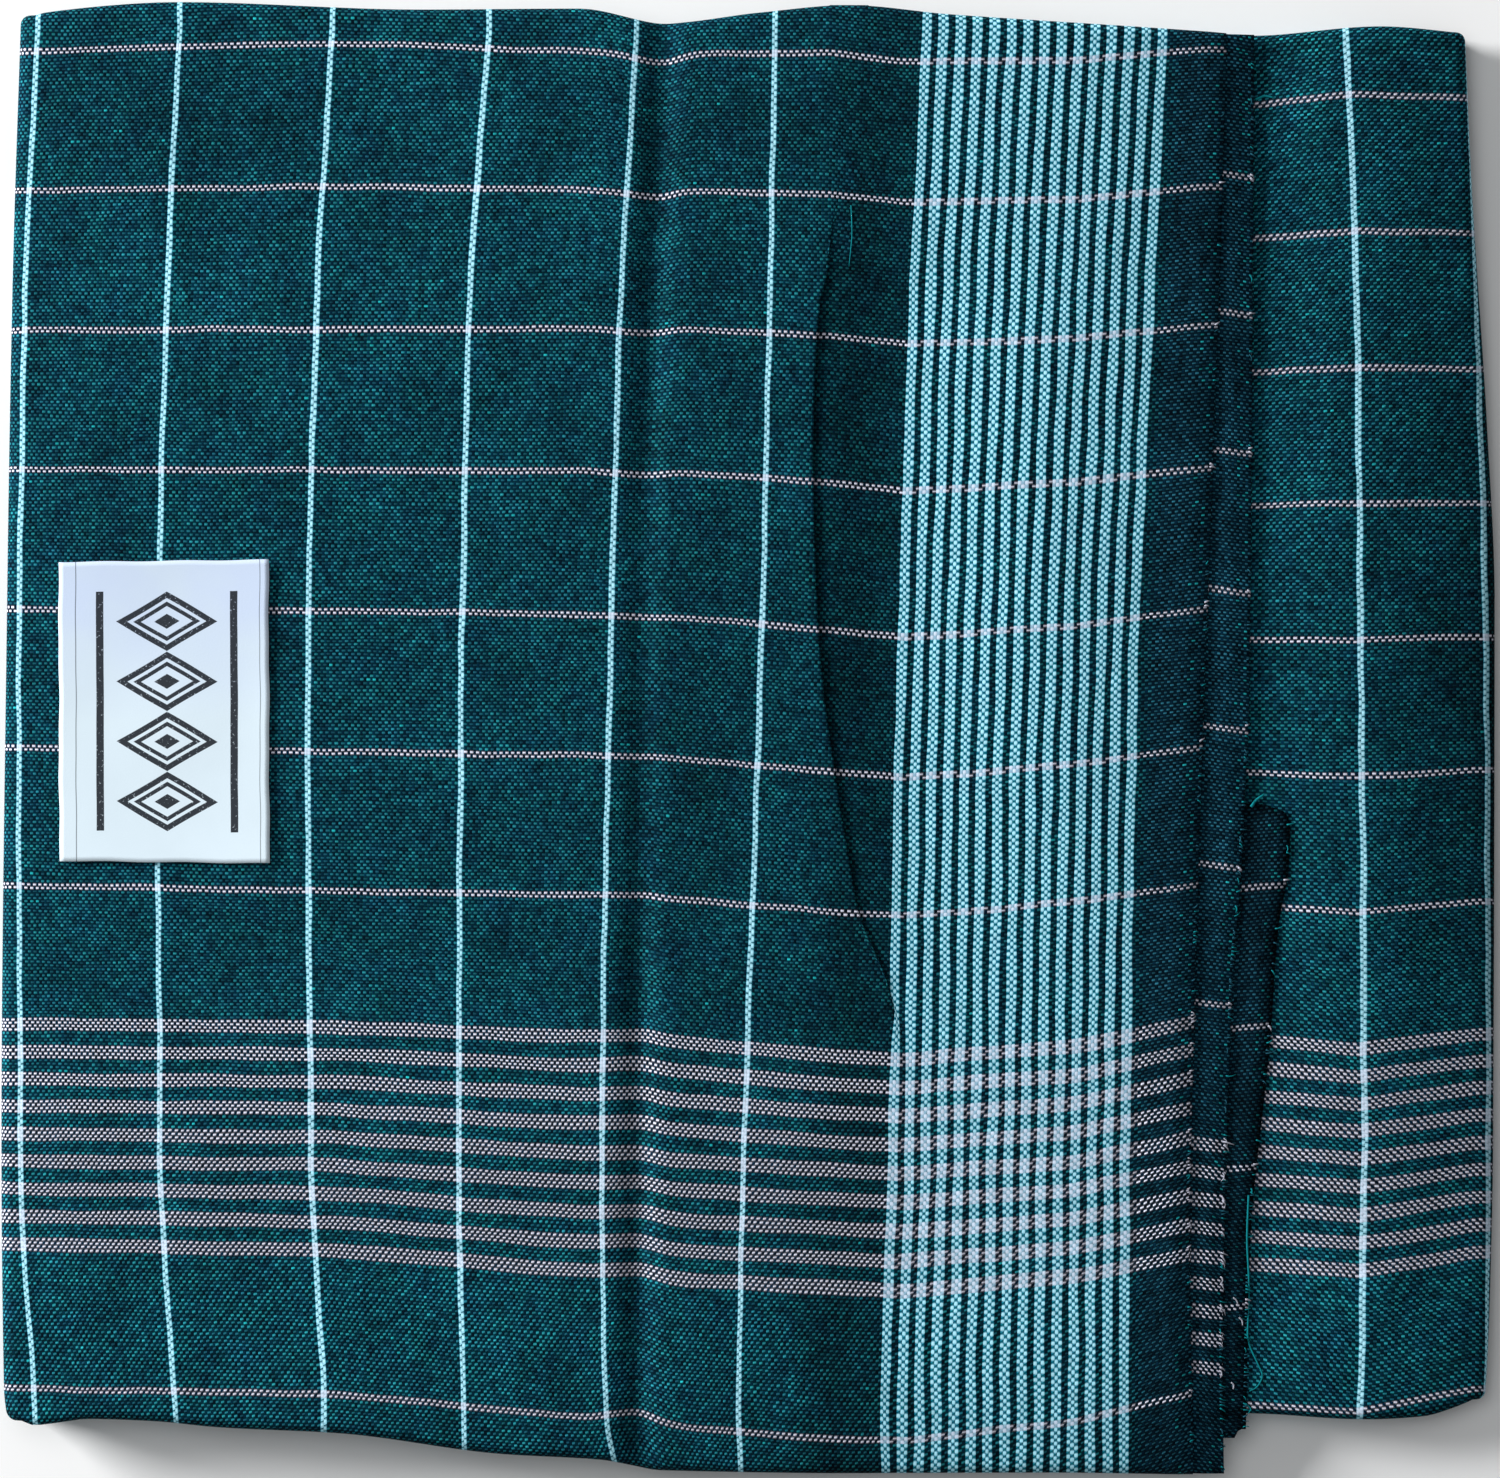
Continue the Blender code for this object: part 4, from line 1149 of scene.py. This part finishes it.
class LONGYI_OT_layer_ends(Operator):
    """Cut ends of the second and third layers"""
    bl_idname = "longyi.layer_ends"
    bl_label = "Layer ends"

    def execute(self, context):
        past_flap = lambda x, y: ease(x - along(FLAP_END, y) + 1.4)
        front = lambda x: along(FLAP_FRONT, x) + 0.3 + HIDDEN_INSET * (1 - past_flap(x, -147.0))
        back = lambda x: along(FLAP_BACK, x) - 0.3 - HIDDEN_INSET * (1 - past_flap(x, 142.0))
        third_front = lambda x: THIRD_FRONT - 0.7 + 1.8 * ease((x - 97.4) / 1.0)
        third_back = lambda x: along(FLAP_BACK, x) - 0.3 - HIDDEN_INSET
        second = (SECOND_END, LAYER, second_droop, front, back)
        third = (THIRD_END, 2 * LAYER, third_droop, third_front, third_back)
        # The fifth value of each row is the strength of the painted shadow along the layer's upper edge.
        for name, form, number_at, straight, painted_rim_shadow, seed, habits, cut in (
                ("second_layer", second, end_warp(SECOND_CHART, SECOND_LINE_DROP), 150.0, 0.0, 12,
                 SECOND_FRINGE, (0.020, 0.287)),
                ("third_layer", third, end_warp(THIRD_CHART, THIRD_LINE_DROP), -32.0, 0.75, 13,
                 THIRD_FRINGE, (0.017, 0.279))):
            mesh = grid_mesh(name + "_end_cloth", *layer_grid(*form, number_at, straight), painted_rim_shadow)
            piece = finish_piece(mesh, cloth_material(context), SHELL)
            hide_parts(name + "_end")
            fringe = fringe_piece(context, name + "_fringe", seed, form[0], number_at, *habits)
        return {"FINISHED"}


class LONGYI_OT_hidden_layers(Operator):
    """Folded layers under the sheets that show, layered at the edges"""
    bl_idname = "longyi.hidden_layers"
    bl_label = "Hidden layers"

    def execute(self, context):
        piece = finish_piece(hidden_mesh("hidden_layers_cloth"), cloth_material(context))
        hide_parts("hidden_layers")
        return {"FINISHED"}


class LONGYI_OT_loose_threads(Operator):
    """Loose threads that lie on the cloth, and the first threads of the ends that hang out"""
    bl_idname = "longyi.loose_threads"
    bl_label = "Loose threads"

    def execute(self, context):
        loose = Threads(14)
        for radius, kind, lift, spots in LOOSE:
            loose.lay(spots, radius, kind, lift)
        loose.piece("loose_threads", thread_materials(context))
        return {"FINISHED"}


class LONGYI_OT_paper_label(Operator):
    """White paper label that lies on the flap, with a plain ornament"""
    bl_idname = "longyi.paper_label"
    bl_label = "Paper label"

    def execute(self, context):
        label = context.scene.longyi_label
        across, up = np.meshgrid(np.linspace(-0.5, 0.5, 43), np.linspace(-0.5, 0.5, 61), indexing="ij")
        across, up = across * label.width / MM, up * label.height / MM
        edge = 0.05 * np.sin(up * 0.55) + 0.08 * np.sin(up * 0.23 + 1.0)
        x = LABEL_PLACE[0] + across + edge * (np.abs(across) / 21.0) ** 3 - 0.003 * up
        y = LABEL_PLACE[1] + up + 0.008 * up * across / 21.0 + 0.08 * np.sin(across * 0.4)
        lift = 0.55 + 0.25 * (across / 21.0) ** 4 + 0.25 * (up / 30.0) ** 6
        lift += 0.06 * np.sin(across * 0.21 + 1.0) * np.cos(up * 0.13)
        points = np.stack((x, y, plain_height(x, y) + lift), axis=-1)
        mesh = grid_mesh("paper_label_sheet", points, np.stack((across, up), axis=-1))
        mesh.uv_layers[0].name = "paper"
        piece = finish_piece(mesh, paper_material("label_paper", label), PAPER_SHELL)
        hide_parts("paper_label")
        return {"FINISHED"}


class LONGYI_OT_stage(Operator):
    """Pale floor, soft light from the left and the camera straight above"""
    bl_idname = "longyi.stage"
    bl_label = "Stage"

    def execute(self, context):
        stage = context.scene.longyi_stage

        def put(name, data, place):
            thing = bpy.data.objects.new(name, data)
            thing.location = place
            context.scene.collection.objects.link(thing)
            return thing

        mesh = bpy.data.meshes.new("floor")
        mesh.from_pydata([(-3, -3, -0.0002), (3, -3, -0.0002), (3, 3, -0.0002), (-3, 3, -0.0002)], [], [(0, 1, 2, 3)])
        g = Graph("pale_floor")
        shade = g.mix(g.noise(g.place(), 60.0), times(stage.floor_colour, 0.985), tuple(stage.floor_colour))
        mesh.materials.append(g.surface(shade, 0.9))
        put("floor", mesh, (0.0, 0.0, 0.0))
        for name, place, size, power in (("key_light", (-2.2, 0.9, 0.77), 0.9, stage.key_power),
                                         ("top_light", (-0.35, 0.25, 1.5), 1.0, stage.key_power * 0.04)):
            lamp = bpy.data.lights.new(name, "AREA")
            lamp.energy = power
            lamp.size = size
            light = put(name, lamp, place)
            light.rotation_euler = (-light.location).to_track_quat("-Z", "Y").to_euler()
        world = bpy.data.worlds.new("even_light")
        world.use_nodes = True
        world.node_tree.nodes["Background"].inputs["Color"].default_value = (0.95, 0.98, 1.0, 1.0)
        world.node_tree.nodes["Background"].inputs["Strength"].default_value = stage.sky
        context.scene.world = world
        camera = bpy.data.cameras.new("camera")
        camera.sensor_width = 36.0
        camera.lens = camera.sensor_width * (stage.camera_height - STACK_TOP) / VIEW_WIDTH
        context.scene.camera = put("camera", camera, (0.0001, 0.0002, stage.camera_height))
        context.scene.view_settings.view_transform = "Standard"
        return {"FINISHED"}


class LONGYI_PT_sidebar(Panel):
    bl_idname = "LONGYI_PT_sidebar"
    bl_label = "Longyi sarong"
    bl_space_type = "VIEW_3D"
    bl_region_type = "UI"
    bl_category = "Longyi"

    def draw(self, context):
        for name in GROUPS:
            settings = getattr(context.scene, name)
            box = self.layout.box()
            for key in settings.__annotations__:
                box.prop(settings, key)
        for operator in OPERATORS:
            self.layout.operator(operator.bl_idname)


GROUPS = {"longyi_cloth": LongyiCloth, "longyi_label": LongyiLabel, "longyi_stage": LongyiStage}
OPERATORS = (LONGYI_OT_top_flap, LONGYI_OT_under_panel, LONGYI_OT_layer_ends, LONGYI_OT_hidden_layers,
             LONGYI_OT_loose_threads, LONGYI_OT_paper_label, LONGYI_OT_stage)


def register():
    for group in GROUPS.values():
        bpy.utils.register_class(group)
    for name, group in GROUPS.items():
        setattr(bpy.types.Scene, name, PointerProperty(type=group))
    for operator in OPERATORS:
        bpy.utils.register_class(operator)
    bpy.utils.register_class(LONGYI_PT_sidebar)


def unregister():
    bpy.utils.unregister_class(LONGYI_PT_sidebar)
    for operator in reversed(OPERATORS):
        bpy.utils.unregister_class(operator)
    for name, group in GROUPS.items():
        delattr(bpy.types.Scene, name)
        bpy.utils.unregister_class(group)


def main():
    register()
    for operator in OPERATORS:
        group, name = operator.bl_idname.split(".")
        getattr(getattr(bpy.ops, group), name)()


if __name__ == "__main__":
    main()
